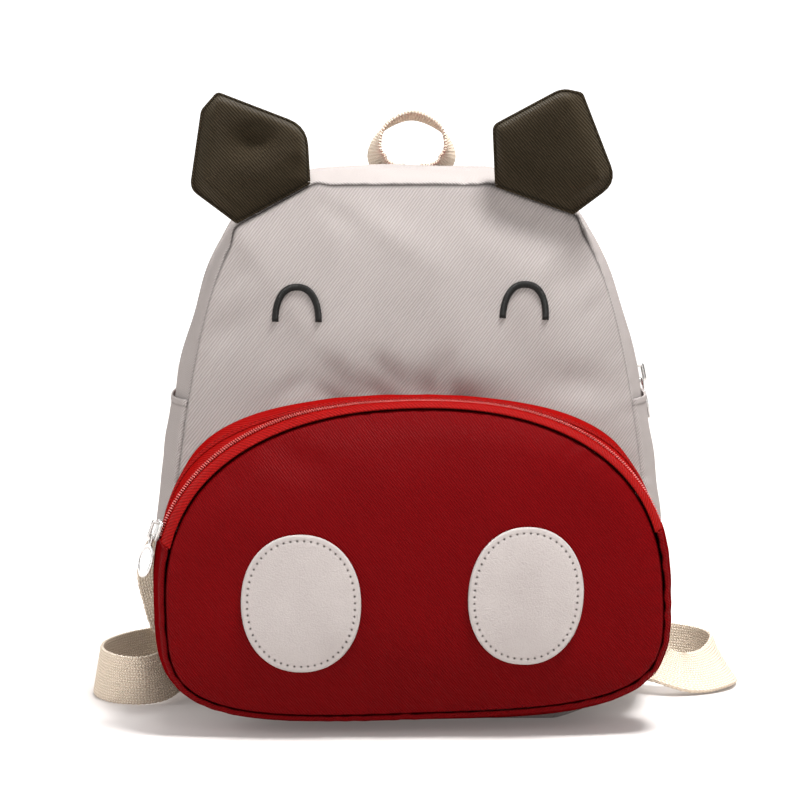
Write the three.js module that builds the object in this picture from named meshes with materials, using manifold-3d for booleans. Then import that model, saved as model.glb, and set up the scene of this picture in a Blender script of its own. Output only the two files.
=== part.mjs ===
import * as THREE from "three";
import { mergeVertices } from "three/addons/utils/BufferGeometryUtils.js";
import Module from "manifold-3d";

const wasm = await Module();
wasm.setup();

// A child's backpack with an animal face. Millimetres, +Z up. The face looks towards -Y,
// +X is on its right as it is seen, and the origin is the middle of the flat base.

// Cloth, webbing and the clearance between sewn pieces
const WALL = 1.6;
const GAP = 0.35;
const PATCH_GAP = 0.5;
const PATCH_THICKNESS = 1.2;
const WEBBING = { width: 25, thickness: 1.8 };

// Main compartment: the outline of its front and back seams and of its bulging crest
const BODY_DEPTH = 90;
const FRONT_SEAM_Y = -BODY_DEPTH / 2;
const BACK_SEAM_Y = BODY_DEPTH / 2;
const SEAM = {
  x: -0.7, z: 75, roll: 0, halfWidth: 117.5, floor: 0,
  upper: { height: 188.5, nx: 5.7, nz: 1.2 },
  lower: { height: 80, nx: 3.3, nz: 3.3 },
};
const CREST = {
  x: -0.5, z: 75, roll: 0, halfWidth: 126, floor: 0,
  upper: { height: 194.5, nx: 4.68, nz: 1.36 },
  lower: { height: 80, nx: 3.3, nz: 3.3 },
};
const GUSSET_ROUNDNESS = 2.2;
const FACE_CENTRE = { x: 0, z: 120 };
const FRONT_BULGE = { depth: 17, power: 2.4 };
const BACK_BULGE = { depth: 5, power: 2.4 };

// Main zip in the upper gusset, and the slip pockets below its ends
const MAIN_ZIP = { y: 10, width: 16, coil: 5.2, shoulder: 0.4, sink: 1.0 };
const SLIP_POCKET = { hem: 157, sag: 3, foot: 36, slack: 0.9 };
const STRIP_END_Z = 140;

// Big front pocket: the seam of its front and the line where it is sewn to the face
const POCKET_SEAM_Y = -84;
const POCKET_SEAM = {
  x: 0.5, z: 67.35, roll: 1.75, halfWidth: 119.5, floor: 0,
  upper: { height: 92.3, nx: 2.2, nz: 2.44 },
  lower: { height: 56.4, nx: 3.5, nz: 4.2 },
};
const POCKET_FOOT = {
  x: -1.5, z: 70, roll: 0.2, halfWidth: 114.7, floor: 0,
  upper: { height: 92, nx: 2.35, nz: 4.2 },
  lower: { height: 67, nx: 3.5, nz: 3.5 },
};
const POCKET_CENTRE = { x: 0.2, z: 70 };
const POCKET_BULGE = { depth: 11, power: 2.4 };
const POCKET_SIDE_BULGE = { depth: 7.2, upperPower: 6, lowerPower: 0.9 };
const POCKET_ARCH_BULGE = { depth: 0.6, power: 2, roundness: 2.2 };
const POCKET_BASE_BULGE = { depth: 2.3, power: 2, roundness: 5 };
const POCKET_ZIP = { end: 98, fromSeam: 12, chain: 5.6 };

// Soft dents in the cloth: middle, direction in degrees, half length, half width, depth.
// A ridge has a negative depth. They fade out at the seams
const FOLD_FADE = 8;
const FACE_FOLDS = [
  { x: -38, z: 250, angle: -35, length: 13, width: 5, depth: 2 },
  { x: -11, z: 241, angle: -34, length: 26, width: 8, depth: -2.4 },
  { x: -89, z: 194, angle: 40, length: 14, width: 7, depth: 2.8 },
  { x: -86, z: 219, angle: 30, length: 12, width: 7, depth: 1.6 },
  { x: 80, z: 221, angle: 40, length: 14, width: 8, depth: 2.4 },
  { x: 83, z: 167, angle: -8, length: 18, width: 9, depth: 3 },
  { x: -36, z: 172, angle: -45, length: 11, width: 6, depth: 2.2 },
  { x: -11, z: 173, angle: -45, length: 11, width: 6, depth: 2.2 },
  { x: 14, z: 174, angle: 70, length: 11, width: 7, depth: 2.2 },
];
const POCKET_FOLDS = [
  { x: -60, z: 138, angle: -20, length: 15, width: 8, depth: 2.6 },
  { x: -86, z: 126, angle: 40, length: 9, width: 5, depth: 1.4 },
];

// Ears: the two ends of each ear's sewn edge, its forward slope, and its other corners from the outer
// side over the tip to the inner side, each with how far out and up it is and its rounding
const EARS = [
  {
    name: "ear_left", inner: { x: -49.6, z: 263 }, outer: { x: -83.9, z: 244.3 }, slope: 0,
    corners: [
      { out: 31.2, up: 25.5, round: 4 },
      { out: 8.5, up: 55.4, round: 1.5 },
      { out: -2, up: 59.2, round: 1.5 },
      { out: -31.3, up: 24.8, round: 9 },
    ],
  },
  {
    name: "ear_right", inner: { x: 41.1, z: 263 }, outer: { x: 77.5, z: 249.9 }, slope: 0.2,
    corners: [
      { out: 33.4, up: 21.8, round: 8 },
      { out: 3, up: 55.5, round: 1.5 },
      { out: -6.5, up: 54.2, round: 4 },
      { out: -30.8, up: 27, round: 2.5 },
    ],
  },
];
const EAR = { baseRound: 1, middleUp: 25, thickness: 16, rim: 2.6 };
const EAR_PUFF = { power: 2.6, ease: 0.8 };
const EAR_Y = -46.6;
const EAR_SEAM_BLEND = 10;
const EAR_DENT = { across: 1, up: 33, radius: 12, depth: 3.5 };

// Eyes and nostril patches: the foot of each arch, and the middle of each patch
const EYES = [
  { name: "eye_left", x: -55.5, z: 197.6, lean: 0 },
  { name: "eye_right", x: 53.6, z: 198.8, lean: -3 },
];
const EYE = { halfWidth: 10.4, height: 16.6, squareness: 2.3, stroke: 3.2 };
const EYE_SECTION = [
  { side: -0.5, rise: 0.5 },
  { side: -0.25, rise: 1.1 },
  { side: 0.25, rise: 1.1 },
  { side: 0.5, rise: 0.5 },
];
const NOSTRILS = [
  { name: "nostril_patch_left", x: -53.6, z: 66.9, lean: 0, halfWidth: 28.4 },
  { name: "nostril_patch_right", x: 52.8, z: 70.2, lean: -4, halfWidth: 27.4 },
];
const NOSTRIL = { halfHeight: 33.1, squareness: 2.15 };

// Haul loop: half of its band from foot to top, mirrored about its own middle
const HAUL_LOOP = { x: 2, y: 31, tilt: 0.17 };
const HAUL_ROWS = [
  { x: 4, z: 268.2, splay: 0 },
  { x: 11, z: 268.5, splay: 0.2 },
  { x: 16.8, z: 271.6, splay: 0.34 },
  { x: 18.6, z: 278.5, splay: 0.22 },
  { x: 14.2, z: 288.5, splay: 0.1 },
  { x: 0, z: 295.1, splay: 0 },
];

// Shoulder straps, from the top of the back down to the lower corner. Each row is a middle point
// of the band, out from the centre line, and the direction of its width
const STRAP_TOP = [
  { out: 27, y: 48.9, z: 258, across: [1, 0, 0] },
  { out: 27.5, y: 50.2, z: 240, across: [1, 0, 0] },
  { out: 31, y: 61, z: 219, across: [1, 0, 0.1] },
  { out: 43, y: 76, z: 185, across: [0.96, 0, 0.28] },
  { out: 61, y: 84, z: 146, across: [0.92, 0, 0.4] },
];
const STRAPS = [
  {
    name: "shoulder_strap_left", side: -1,
    rows: [
      { out: 84, y: 86, z: 110, across: [0.8, -0.1, 0.6] },
      { out: 110, y: 77, z: 81, across: [0.65, -0.2, 0.73] },
      { out: 129.5, y: 66, z: 58.5, across: [0.93, -0.05, 0.36] },
      { out: 127, y: 58, z: 42, across: [0.96, 0, -0.26] },
      { out: 121.5, y: 56, z: 28, across: [0.8, 0, -0.6] },
      { out: 104, y: 57.5, z: 17.2, across: [0.4, 0, -0.9] },
      { out: 84, y: 62, z: 13.6, across: [0.1, 0, -0.99] },
      { out: 69, y: 70, z: 12.9, across: [0, 0, -1] },
      { out: 76, y: 79, z: 12.9, across: [0, 0, -1] },
      { out: 98, y: 77, z: 12.9, across: [0, 0, -1] },
      { out: 124, y: 68, z: 12.9, across: [0, 0, -1] },
      { out: 146, y: 51, z: 12.9, across: [0.12, 0, -0.99] },
      { out: 158.5, y: 27, z: 12.9, across: [0.16, 0, -0.98] },
      { out: 157, y: 5, z: 12.9, across: [0.16, 0.05, -0.98] },
      { out: 147, y: -10, z: 12.9, across: [0.1, 0.1, -0.99] },
      { out: 134.5, y: -14.5, z: 13.1, across: [0, 0.1, -0.99] },
      { out: 125, y: -8, z: 14, across: [-0.15, 0, -0.99] },
      { out: 119.2, y: 6, z: 16.8, across: [-0.42, 0, -0.9] },
      { out: 114.2, y: 24, z: 19, across: [-0.634, 0, -0.773] },
      { out: 111.4, y: 41, z: 19, across: [-0.634, 0, -0.773] },
    ],
  },
  {
    name: "shoulder_strap_right", side: 1,
    rows: [
      { out: 80, y: 85, z: 108, across: [0.86, -0.1, 0.5] },
      { out: 96, y: 76, z: 78, across: [0.92, 0, 0.36] },
      { out: 101, y: 66, z: 50, across: [1, 0, 0] },
      { out: 97, y: 60, z: 31.5, across: [0.89, 0, -0.45] },
      { out: 85, y: 60, z: 19, across: [0.55, 0, -0.83] },
      { out: 71, y: 64, z: 13.8, across: [0.15, 0, -0.99] },
      { out: 61, y: 72, z: 12.9, across: [0, 0, -1] },
      { out: 68, y: 81, z: 12.9, across: [0, 0, -1] },
      { out: 92, y: 79, z: 12.9, across: [0, 0, -1] },
      { out: 122, y: 72, z: 12.9, across: [0.1, -0.1, -0.98] },
      { out: 149, y: 63, z: 12.7, across: [0.25, -0.15, -0.95] },
      { out: 164, y: 45, z: 12.4, across: [0.45, -0.15, -0.87] },
      { out: 160, y: 24, z: 10.8, across: [0.5, -0.52, -0.69] },
      { out: 144, y: 12, z: 10.2, across: [0.22, -0.7, -0.68] },
      { out: 129.5, y: 13, z: 14.2, across: [-0.02, -0.8, -0.6] },
      { out: 121, y: 21, z: 17.8, across: [-0.35, -0.35, -0.87] },
      { out: 114, y: 31, z: 19.4, across: [-0.634, 0, -0.773] },
      { out: 111.2, y: 42, z: 19, across: [-0.634, 0, -0.773] },
    ],
  },
];

// Zip slider and its pull. Along is down the zip, and up is away from the cloth
const SLIDER_PLATE = 1.8;
const SLIDER_ROWS = [
  { along: -5, half: 2.9 },
  { along: -3, half: 3.9 },
  { along: 1.5, half: 3.6 },
  { along: 5, half: 2.5 },
];
const BRIDGE = { from: -4, to: 5, wire: 1.1, height: 3.2, width: 2, corner: 1, innerCorner: 0.4 };
const PULL = { along: 2.9, up: 1.25, thickness: 1.1 };
const PULL_RING = { width: 5.6, wire: 1.1, end: 7.9, endBar: 1.1, corner: 0.7 };
const PULL_DISC = { length: 16.8, width: 8.8, overlap: 0.5 };
const SLIDERS = {
  main: { z: 165.5, pullLean: 0, discTwist: 0 },
  pocket: { z: 93.8, pullLean: 4, discTwist: -40 },
};

// Facets
const DENSE = 480;
const SLIVER = 0.2;
const BODY_SIDES = 64;
const POCKET_SIDES = 56;
const GUSSET_ROWS = { front: 4, back: 3, lower: 5 };
const POCKET_ROWS = { facing: 2, chain: 1, tape: 2, lower: 5 };
const FACE_RINGS = [0, 0.26, 0.5, 0.7, 0.86, 0.95, 1];
const BACK_RINGS = [0, 0.45, 0.8, 1];
const POCKET_RINGS = [0, 0.3, 0.56, 0.78, 0.92, 1];
const EAR_RINGS = [0, 0.45, 0.78, 0.94, 1];
const EAR_SIDES = 30;
const EAR_CORNER_STEPS = 4;
const PATCH_RINGS = [0, 0.55, 1];
const PATCH_SIDES = 30;
const EYE_STEPS = 12;
const STRAP_STEPS = 64;
const HAUL_STEPS = 26;
const DISC_STEPS = 10;

// Materials
const CLOTH = { roughness: 0.85, metalness: 0 };
const METAL = { roughness: 0.25, metalness: 1 };
const LOOKS = {
  grey: { color: 0xc9c2bf, ...CLOTH },
  darkRed: { color: 0x7d1016, ...CLOTH },
  brightRed: { color: 0xb8241f, ...CLOTH },
  tapeRed: { color: 0xc92c28, ...CLOTH },
  olive: { color: 0x3a3229, ...CLOTH },
  patch: { color: 0xd8d2cf, roughness: 0.6, metalness: 0 },
  thread: { color: 0x1b1a18, roughness: 0.5, metalness: 0 },
  cotton: { color: 0xd9c4ae, ...CLOTH },
  steel: { color: 0xcccccc, ...METAL },
};

const backpack = new THREE.Group();

function addPiece(name, geometry, look, parent = backpack) {
  const mesh = new THREE.Mesh(geometry, new THREE.MeshStandardMaterial(LOOKS[look]));
  mesh.name = name;
  parent.add(mesh);
}

// Solids from points

function signedVolume(position, index) {
  const corners = [new THREE.Vector3(), new THREE.Vector3(), new THREE.Vector3()];
  let volume = 0;
  for (let i = 0; i < index.length; i += 3) {
    corners.forEach((corner, k) => corner.fromBufferAttribute(position, index[i + k]));
    volume += corners[0].dot(corners[1].cross(corners[2])) / 6;
  }
  return volume;
}

// Closed solid from triangle corners: shared points merged, flat triangles dropped, faces outwards
function solid(corners) {
  const loose = new THREE.BufferGeometry().setFromPoints(corners);
  const merged = mergeVertices(loose);
  const index = [];
  const all = merged.getIndex().array;
  for (let i = 0; i < all.length; i += 3) {
    const [a, b, c] = [all[i], all[i + 1], all[i + 2]];
    if (a !== b && b !== c && c !== a) {
      index.push(a, b, c);
    }
  }
  if (signedVolume(merged.getAttribute("position"), index) < 0) {
    index.reverse();
  }
  merged.setIndex(index);
  merged.computeVertexNormals();
  return merged;
}

// Solid swept through loops of points. Each loop runs out along one face and back along the other,
// so that point k of a loop lies opposite its point size - 1 - k
function sweep(loops, closed) {
  const corners = [];
  const quad = (a, b, c, d) => corners.push(a, b, c, a, c, d);
  const size = loops[0].length;
  const spans = closed ? loops.length : loops.length - 1;
  for (let i = 0; i < spans; i += 1) {
    const here = loops[i];
    const next = loops[(i + 1) % loops.length];
    for (let k = 0; k < size; k += 1) {
      const m = (k + 1) % size;
      quad(here[k], next[k], next[m], here[m]);
    }
  }
  if (!closed) {
    const first = loops[0];
    const last = loops[loops.length - 1];
    for (let k = 0; k < size / 2 - 1; k += 1) {
      const m = size - 1 - k;
      quad(first[k], first[k + 1], first[m - 1], first[m]);
      quad(last[m], last[m - 1], last[k + 1], last[k]);
    }
  }
  return solid(corners);
}

// Outlines in the X-Z plane, run from the bottom over the right side, the top and the left side

const signedPower = (value, power) => Math.sign(value) * Math.abs(value) ** power;

function evenly(points, count) {
  const path = [...points, points[0]];
  const reach = [0];
  for (let i = 1; i < path.length; i += 1) {
    reach.push(reach[i - 1] + path[i].distanceTo(path[i - 1]));
  }
  const even = [];
  let span = 0;
  for (let i = 0; i < count; i += 1) {
    const target = (i / count) * reach[reach.length - 1];
    while (reach[span + 1] < target) {
      span += 1;
    }
    const share = (target - reach[span]) / (reach[span + 1] - reach[span]);
    even.push(path[span].clone().lerp(path[span + 1], share));
  }
  return even;
}

function superEllipse(shape) {
  const roll = THREE.MathUtils.degToRad(shape.roll);
  const middle = new THREE.Vector2(shape.x, shape.z);
  const points = [];
  for (let i = 0; i < DENSE; i += 1) {
    const turn = (i / DENSE - 0.25) * 2 * Math.PI;
    const half = Math.sin(turn) >= 0 ? shape.upper : shape.lower;
    const across = shape.halfWidth * signedPower(Math.cos(turn), 2 / half.nx);
    const up = half.height * signedPower(Math.sin(turn), 2 / half.nz);
    const point = new THREE.Vector2(shape.x + across, shape.z + up).rotateAround(middle, roll);
    point.y = Math.max(point.y, shape.floor);
    points.push(point);
  }
  return evenly(points, DENSE);
}

// Outline moved outwards by a distance, or inwards where it is negative
function grow(points, distance) {
  return points.map((point, i) => {
    const before = points[(i + points.length - 1) % points.length];
    const after = points[(i + 1) % points.length];
    const along = after.clone().sub(before).normalize();
    return new THREE.Vector2(point.x + along.y * distance, point.y - along.x * distance);
  });
}

const grownLines = new Map();

// The same outline, worked out once for each distance
function grown(points, lift) {
  const lines = grownLines.get(points) ?? new Map();
  grownLines.set(points, lines);
  if (!lines.has(lift)) {
    lines.set(lift, grow(points, lift));
  }
  return lines.get(lift);
}

// The seam runs straight along each ear's sewn edge, and eases back to its own line beyond it
function straightenAt(points, ear) {
  const start = new THREE.Vector2(ear.inner.x, ear.inner.z);
  const chord = new THREE.Vector2(ear.outer.x, ear.outer.z).sub(start);
  const length = chord.length();
  const along = chord.normalize();
  const out = new THREE.Vector2(-along.y, along.x).multiplyScalar(Math.sign(along.x));
  return points.map((point) => {
    const offset = point.clone().sub(start);
    const past = Math.max(-offset.dot(along), offset.dot(along) - length, 0);
    const pull = 1 - THREE.MathUtils.smoothstep(past, 0, EAR_SEAM_BLEND);
    const near = Math.abs(offset.dot(out)) < EAR_SEAM_BLEND ? pull : 0;
    return point.clone().addScaledVector(out, -offset.dot(out) * near);
  });
}

// Point of an outline at a share of its length
function at(points, share) {
  const place = (((share % 1) + 1) % 1) * points.length;
  const first = Math.floor(place) % points.length;
  return points[first].clone().lerp(points[(first + 1) % points.length], place - Math.floor(place));
}

// Share at which an outline reaches a height, on its right or its left side above the base
function shareAtHeight(points, height, left = false) {
  const count = points.length;
  for (let i = count / 12; i < count / 2; i += 1) {
    const place = left ? count - i : i;
    if (points[place].y >= height) {
      return place / count;
    }
  }
  return 0.5;
}

// Shares from start to end, on a common grid so that nested pieces have matching facets
function spread(start, end, sides) {
  const shares = [start];
  for (let i = Math.ceil(start * sides); i / sides < end; i += 1) {
    if (i - start * sides > SLIVER && end * sides - i > SLIVER) {
      shares.push(i / sides);
    }
  }
  shares.push(end);
  return shares;
}

// Share of an outline's length that a distance makes
const shareOf = (points, distance) => distance / (points.length * points[0].distanceTo(points[1]));

const point3 = (flat, y) => new THREE.Vector3(flat.x, y, flat.y);

const seam = EARS.reduce(straightenAt, superEllipse(SEAM));
const crest = superEllipse(CREST);
const pocketSeam = superEllipse(POCKET_SEAM);
const pocketFoot = superEllipse(POCKET_FOOT);

// Cloth panels: how far out a point is between the panel's middle and its seam, and its height there

function shareOut(points, centre, flat) {
  const middle = new THREE.Vector2(centre.x, centre.z);
  const ray = flat.clone().sub(middle);
  for (let i = 0; i < points.length; i += 1) {
    const a = points[i].clone().sub(middle);
    const b = points[(i + 1) % points.length].clone().sub(middle);
    const fromA = a.cross(ray);
    const toB = ray.cross(b);
    if (fromA >= 0 && toB > 0 && ray.dot(a) > 0) {
      return ray.length() / a.lerp(b, fromA / (fromA + toB)).length();
    }
  }
  return 0;
}

const crown = (bulge, out) => bulge.depth * (1 - Math.min(out, 1) ** bulge.power);

const faceY = (flat) => FRONT_SEAM_Y - WALL - crown(FRONT_BULGE, shareOut(seam, FACE_CENTRE, flat));

const pocketY = (flat) =>
  POCKET_SEAM_Y - WALL - crown(POCKET_BULGE, shareOut(pocketSeam, POCKET_CENTRE, flat));

function foldDepth(rows, flat) {
  return rows.reduce((sum, row) => {
    const angle = THREE.MathUtils.degToRad(row.angle);
    const offset = new THREE.Vector2(flat.x - row.x, flat.y - row.z);
    const local = offset.rotateAround(new THREE.Vector2(), -angle);
    return sum + row.depth * Math.exp(-((local.x / row.length) ** 2) - (local.y / row.width) ** 2);
  }, 0);
}

// Panel with its seam as rim: outerY and innerY give its two faces
function panel(rim, sides, rings, centre, outerY, innerY) {
  const middle = new THREE.Vector2(centre.x, centre.z);
  const loops = [];
  for (let i = 0; i < sides; i += 1) {
    const edge = at(rim, i / sides);
    const flats = rings.map((ring) => middle.clone().lerp(edge, ring));
    const outer = flats.map((flat, k) => point3(flat, outerY(flat, rings[k])));
    const inner = flats.map((flat, k) => point3(flat, innerY(flat, rings[k])));
    loops.push([...outer, ...inner.reverse()]);
  }
  return sweep(loops, true);
}

function addBodyPanels() {
  const frontY = (flat, ring) =>
    FRONT_SEAM_Y - WALL - crown(FRONT_BULGE, ring) + foldDepth(FACE_FOLDS, flat) * (1 - ring ** FOLD_FADE);
  const backY = (flat, ring) => BACK_SEAM_Y + WALL + crown(BACK_BULGE, ring);
  const inFront = (flat, ring) => frontY(flat, ring) + WALL;
  const inBack = (flat, ring) => backY(flat, ring) - WALL;
  addPiece("front_panel", panel(seam, BODY_SIDES, FACE_RINGS, FACE_CENTRE, frontY, inFront), "grey");
  addPiece("back_panel", panel(seam, BODY_SIDES, BACK_RINGS, FACE_CENTRE, backY, inBack), "grey");
}

// Gusset of the main compartment, from the front seam to the back seam

const roundOut = (share, power = GUSSET_ROUNDNESS) => 1 - Math.abs(2 * share - 1) ** power;

// Point of the gusset at a share of its length, lifted from the cloth line
function gussetPlace(share, y, lift) {
  const out = roundOut((y - FRONT_SEAM_Y) / BODY_DEPTH);
  return point3(at(grown(seam, lift), share).lerp(at(grown(crest, lift), share), out), y);
}

// Strip of the gusset. Each row of its section is a depth and the lifts of its two faces, and
// sagAt gives how far a share is moved at a depth
function gussetStrip(shares, section, sagAt = () => 0) {
  const loops = shares.map((share) => {
    const place = (y, lift) => gussetPlace(share + sagAt(share, y), y, lift);
    return [
      ...section.map((row) => place(row.y, row.outer)),
      ...section.map((row) => place(row.y, row.inner)).reverse(),
    ];
  });
  return sweep(loops, false);
}

// Section of plain cloth in even rows
function clothSection(from, to, rows, outer = 0, swell = 0) {
  return Array.from({ length: rows + 1 }, (_, i) => {
    const y = from + ((to - from) * i) / rows;
    const lift = outer + swell * roundOut(i / rows);
    return { y, outer: lift, inner: lift - WALL };
  });
}

const stripEnd = shareAtHeight(seam, STRIP_END_Z);
const hemShare = shareAtHeight(seam, SLIP_POCKET.hem);
const slipFoot = shareAtHeight(seam, SLIP_POCKET.foot);

// The hem of a slip pocket sags between its two seams
function slipSag(share, y) {
  const right = Math.min(share, 1 - share);
  const raised = ((right - slipFoot) / (hemShare - slipFoot)) ** 2;
  const sag = shareOf(seam, SLIP_POCKET.sag) * raised * roundOut((y - FRONT_SEAM_Y) / BODY_DEPTH);
  return right === share ? -sag : sag;
}

function addGusset() {
  const front = FRONT_SEAM_Y + GAP;
  const back = BACK_SEAM_Y - GAP;
  const zipFront = MAIN_ZIP.y - MAIN_ZIP.width / 2;
  const zipBack = MAIN_ZIP.y + MAIN_ZIP.width / 2;
  const coilEdge = MAIN_ZIP.coil / 2;
  const shoulder = coilEdge + MAIN_ZIP.shoulder;
  const tape = { outer: -MAIN_ZIP.sink, inner: -MAIN_ZIP.sink - WALL };
  const zipSection = [
    { y: zipFront + GAP, ...tape },
    { y: MAIN_ZIP.y - shoulder, ...tape },
    { y: MAIN_ZIP.y - coilEdge, ...tape, outer: 0 },
    { y: MAIN_ZIP.y + coilEdge, ...tape, outer: 0 },
    { y: MAIN_ZIP.y + shoulder, ...tape },
    { y: zipBack - GAP, ...tape },
  ];
  const frontSection = clothSection(front, zipFront, GUSSET_ROWS.front);
  const backSection = clothSection(zipBack, back, GUSSET_ROWS.back);
  const lowSection = clothSection(front, back, GUSSET_ROWS.lower);
  const endGap = shareOf(seam, GAP);
  const arch = spread(stripEnd, 1 - stripEnd, BODY_SIDES);
  const low = spread(1 - stripEnd + endGap, 1 + stripEnd - endGap, BODY_SIDES);
  addPiece("gusset_front_strip", gussetStrip(arch, frontSection), "grey");
  addPiece("main_zip", gussetStrip(arch, zipSection), "brightRed");
  addPiece("gusset_back_strip", gussetStrip(arch, backSection), "grey");
  addPiece("lower_gusset", gussetStrip(low, lowSection), "grey");
  const overlay = clothSection(front, back, GUSSET_ROWS.lower, GAP + WALL, SLIP_POCKET.slack);
  const right = spread(slipFoot, hemShare, BODY_SIDES);
  const left = spread(1 - hemShare, 1 - slipFoot, BODY_SIDES);
  addPiece("side_pocket_right", gussetStrip(right, overlay, slipSag), "grey");
  addPiece("side_pocket_left", gussetStrip(left, overlay, slipSag), "grey");
}

// Front pocket: its gusset runs from the seam of its front (0) to the line on the face (1)

function pocketPlace(share, across, lift) {
  const edge = at(grown(pocketSeam, lift), share);
  const foot = at(grown(pocketFoot, lift), share);
  const next = at(pocketSeam, share + 1 / DENSE);
  const along = next.sub(at(pocketSeam, share - 1 / DENSE)).normalize();
  const low = at(pocketSeam, share).y <= POCKET_SEAM.z;
  const { depth, upperPower, lowerPower } = POCKET_SIDE_BULGE;
  const side = depth * Math.abs(along.y) ** (low ? lowerPower : upperPower);
  const bulge = low ? POCKET_BASE_BULGE : POCKET_ARCH_BULGE;
  const swell = side * roundOut(across)
    + bulge.depth * along.x ** bulge.power * roundOut(across, bulge.roundness);
  const outwards = new THREE.Vector2(along.y, -along.x);
  const y = THREE.MathUtils.lerp(POCKET_SEAM_Y + GAP, faceY(foot) - GAP, across);
  const flat = edge.lerp(foot, across);
  return point3(flat.addScaledVector(outwards, swell), y);
}

// Place across the pocket's gusset at a distance from the seam of its front
function acrossAt(share, distance) {
  return distance / pocketPlace(share, 0, 0).distanceTo(pocketPlace(share, 1, 0));
}

// Strip of the pocket's gusset: bounds gives its two edges across the gusset at each share
function pocketStrip(shares, rows, bounds) {
  const loops = shares.map((share) => {
    const [from, to] = bounds(share);
    const across = Array.from({ length: rows + 1 }, (_, i) => from + ((to - from) * i) / rows);
    return [
      ...across.map((place) => pocketPlace(share, place, 0)),
      ...across.map((place) => pocketPlace(share, place, -WALL)).reverse(),
    ];
  });
  return sweep(loops, false);
}

const zipEndShare = shareAtHeight(pocketSeam, POCKET_ZIP.end);

function addPocket() {
  const clothY = (flat, ring) => POCKET_SEAM_Y - WALL - crown(POCKET_BULGE, ring)
    + foldDepth(POCKET_FOLDS, flat) * (1 - ring ** FOLD_FADE);
  const insideY = (flat, ring) => clothY(flat, ring) + WALL;
  const front = panel(pocketSeam, POCKET_SIDES, POCKET_RINGS, POCKET_CENTRE, clothY, insideY);
  const arch = spread(zipEndShare, 1 - zipEndShare, POCKET_SIDES);
  const endGap = shareOf(pocketSeam, GAP);
  const low = spread(1 - zipEndShare + endGap, 1 + zipEndShare - endGap, POCKET_SIDES);
  const before = POCKET_ZIP.fromSeam - POCKET_ZIP.chain / 2;
  const after = POCKET_ZIP.fromSeam + POCKET_ZIP.chain / 2;
  const facingEdges = (share) => [0, acrossAt(share, before - GAP)];
  const chainEdges = (share) => [acrossAt(share, before), acrossAt(share, after)];
  const tapeEdges = (share) => [acrossAt(share, after + GAP), 1];
  const facing = pocketStrip(arch, POCKET_ROWS.facing, facingEdges);
  const chain = pocketStrip(arch, POCKET_ROWS.chain, chainEdges);
  const tape = pocketStrip(arch, POCKET_ROWS.tape, tapeEdges);
  const lower = pocketStrip(low, POCKET_ROWS.lower, () => [0, 1]);
  addPiece("pocket_front", front, "darkRed");
  addPiece("pocket_zip_facing", facing, "brightRed");
  addPiece("pocket_zip_chain", chain, "tapeRed");
  addPiece("pocket_zip_tape", tape, "brightRed");
  addPiece("pocket_gusset", lower, "darkRed");
}

// Ears: padded pentagons standing on the straight stretches of the front seam

function roundedPolygon(corners, radii, steps) {
  const points = [];
  corners.forEach((corner, i) => {
    const before = corners[(i + corners.length - 1) % corners.length].clone().sub(corner);
    const after = corners[(i + 1) % corners.length].clone().sub(corner);
    const start = corner.clone().addScaledVector(before.normalize(), radii[i]);
    const end = corner.clone().addScaledVector(after.normalize(), radii[i]);
    points.push(...new THREE.QuadraticBezierCurve(start, corner, end).getPoints(steps));
  });
  return points;
}

function addEar(row) {
  const inner = new THREE.Vector2(row.inner.x, row.inner.z);
  const outer = new THREE.Vector2(row.outer.x, row.outer.z);
  const along = outer.clone().sub(inner).normalize();
  const up = new THREE.Vector2(-along.y, along.x).multiplyScalar(Math.sign(along.x));
  const foot = inner.clone().lerp(outer, 0.5).addScaledVector(up, GAP);
  const local = (across, rise) => foot.clone().addScaledVector(along, across).addScaledVector(up, rise);
  const base = inner.distanceTo(outer) / 2;
  const ends = [-base, base].map((out) => ({ out, up: 0, round: EAR.baseRound }));
  const corners = [...ends, ...row.corners];
  const pentagon = corners.map((corner) => local(corner.out, corner.up));
  const radii = corners.map((corner) => corner.round);
  const rim = evenly(roundedPolygon(pentagon, radii, EAR_CORNER_STEPS), EAR_SIDES);
  const middle = local(0, EAR.middleUp);
  const dentAt = local(EAR_DENT.across, EAR_DENT.up);
  const swell = (ring) => (1 - ring ** EAR_PUFF.power) ** EAR_PUFF.ease;
  const puff = (ring) => THREE.MathUtils.lerp(EAR.rim, EAR.thickness, swell(ring)) / 2;
  const dent = (flat) => EAR_DENT.depth * Math.exp(-((flat.distanceTo(dentAt) / EAR_DENT.radius) ** 2));
  const middleY = (flat) => EAR_Y - row.slope * flat.clone().sub(foot).dot(up);
  const frontY = (flat, ring) => middleY(flat) - puff(ring) + dent(flat) * (1 - ring);
  const backY = (flat, ring) => middleY(flat) + puff(ring);
  const centre = { x: middle.x, z: middle.y };
  addPiece(row.name, panel(rim, EAR_SIDES, EAR_RINGS, centre, frontY, backY), "olive");
}

// Eyes: raised arches that follow the face

function addEye(row) {
  const lean = THREE.MathUtils.degToRad(row.lean);
  const loops = Array.from({ length: EYE_STEPS + 1 }, (_, i) => {
    const turn = (i / EYE_STEPS) * Math.PI;
    const power = 2 / EYE.squareness;
    const line = (side) => {
      const wider = side * EYE.stroke;
      const across = (EYE.halfWidth + wider) * signedPower(Math.cos(turn), power);
      const up = (EYE.height + wider) * Math.sin(turn) ** power;
      return new THREE.Vector2(across, up).rotateAround(new THREE.Vector2(), lean)
        .add(new THREE.Vector2(row.x, row.z));
    };
    const under = (side) => faceY(line(side)) - GAP;
    const outer = EYE_SECTION.map(({ side, rise }) => point3(line(side), under(side) - rise));
    const inner = EYE_SECTION.map(({ side }) => point3(line(side), under(side)));
    return [...outer, ...inner.reverse()];
  });
  addPiece(row.name, sweep(loops, false), "thread");
}

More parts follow.
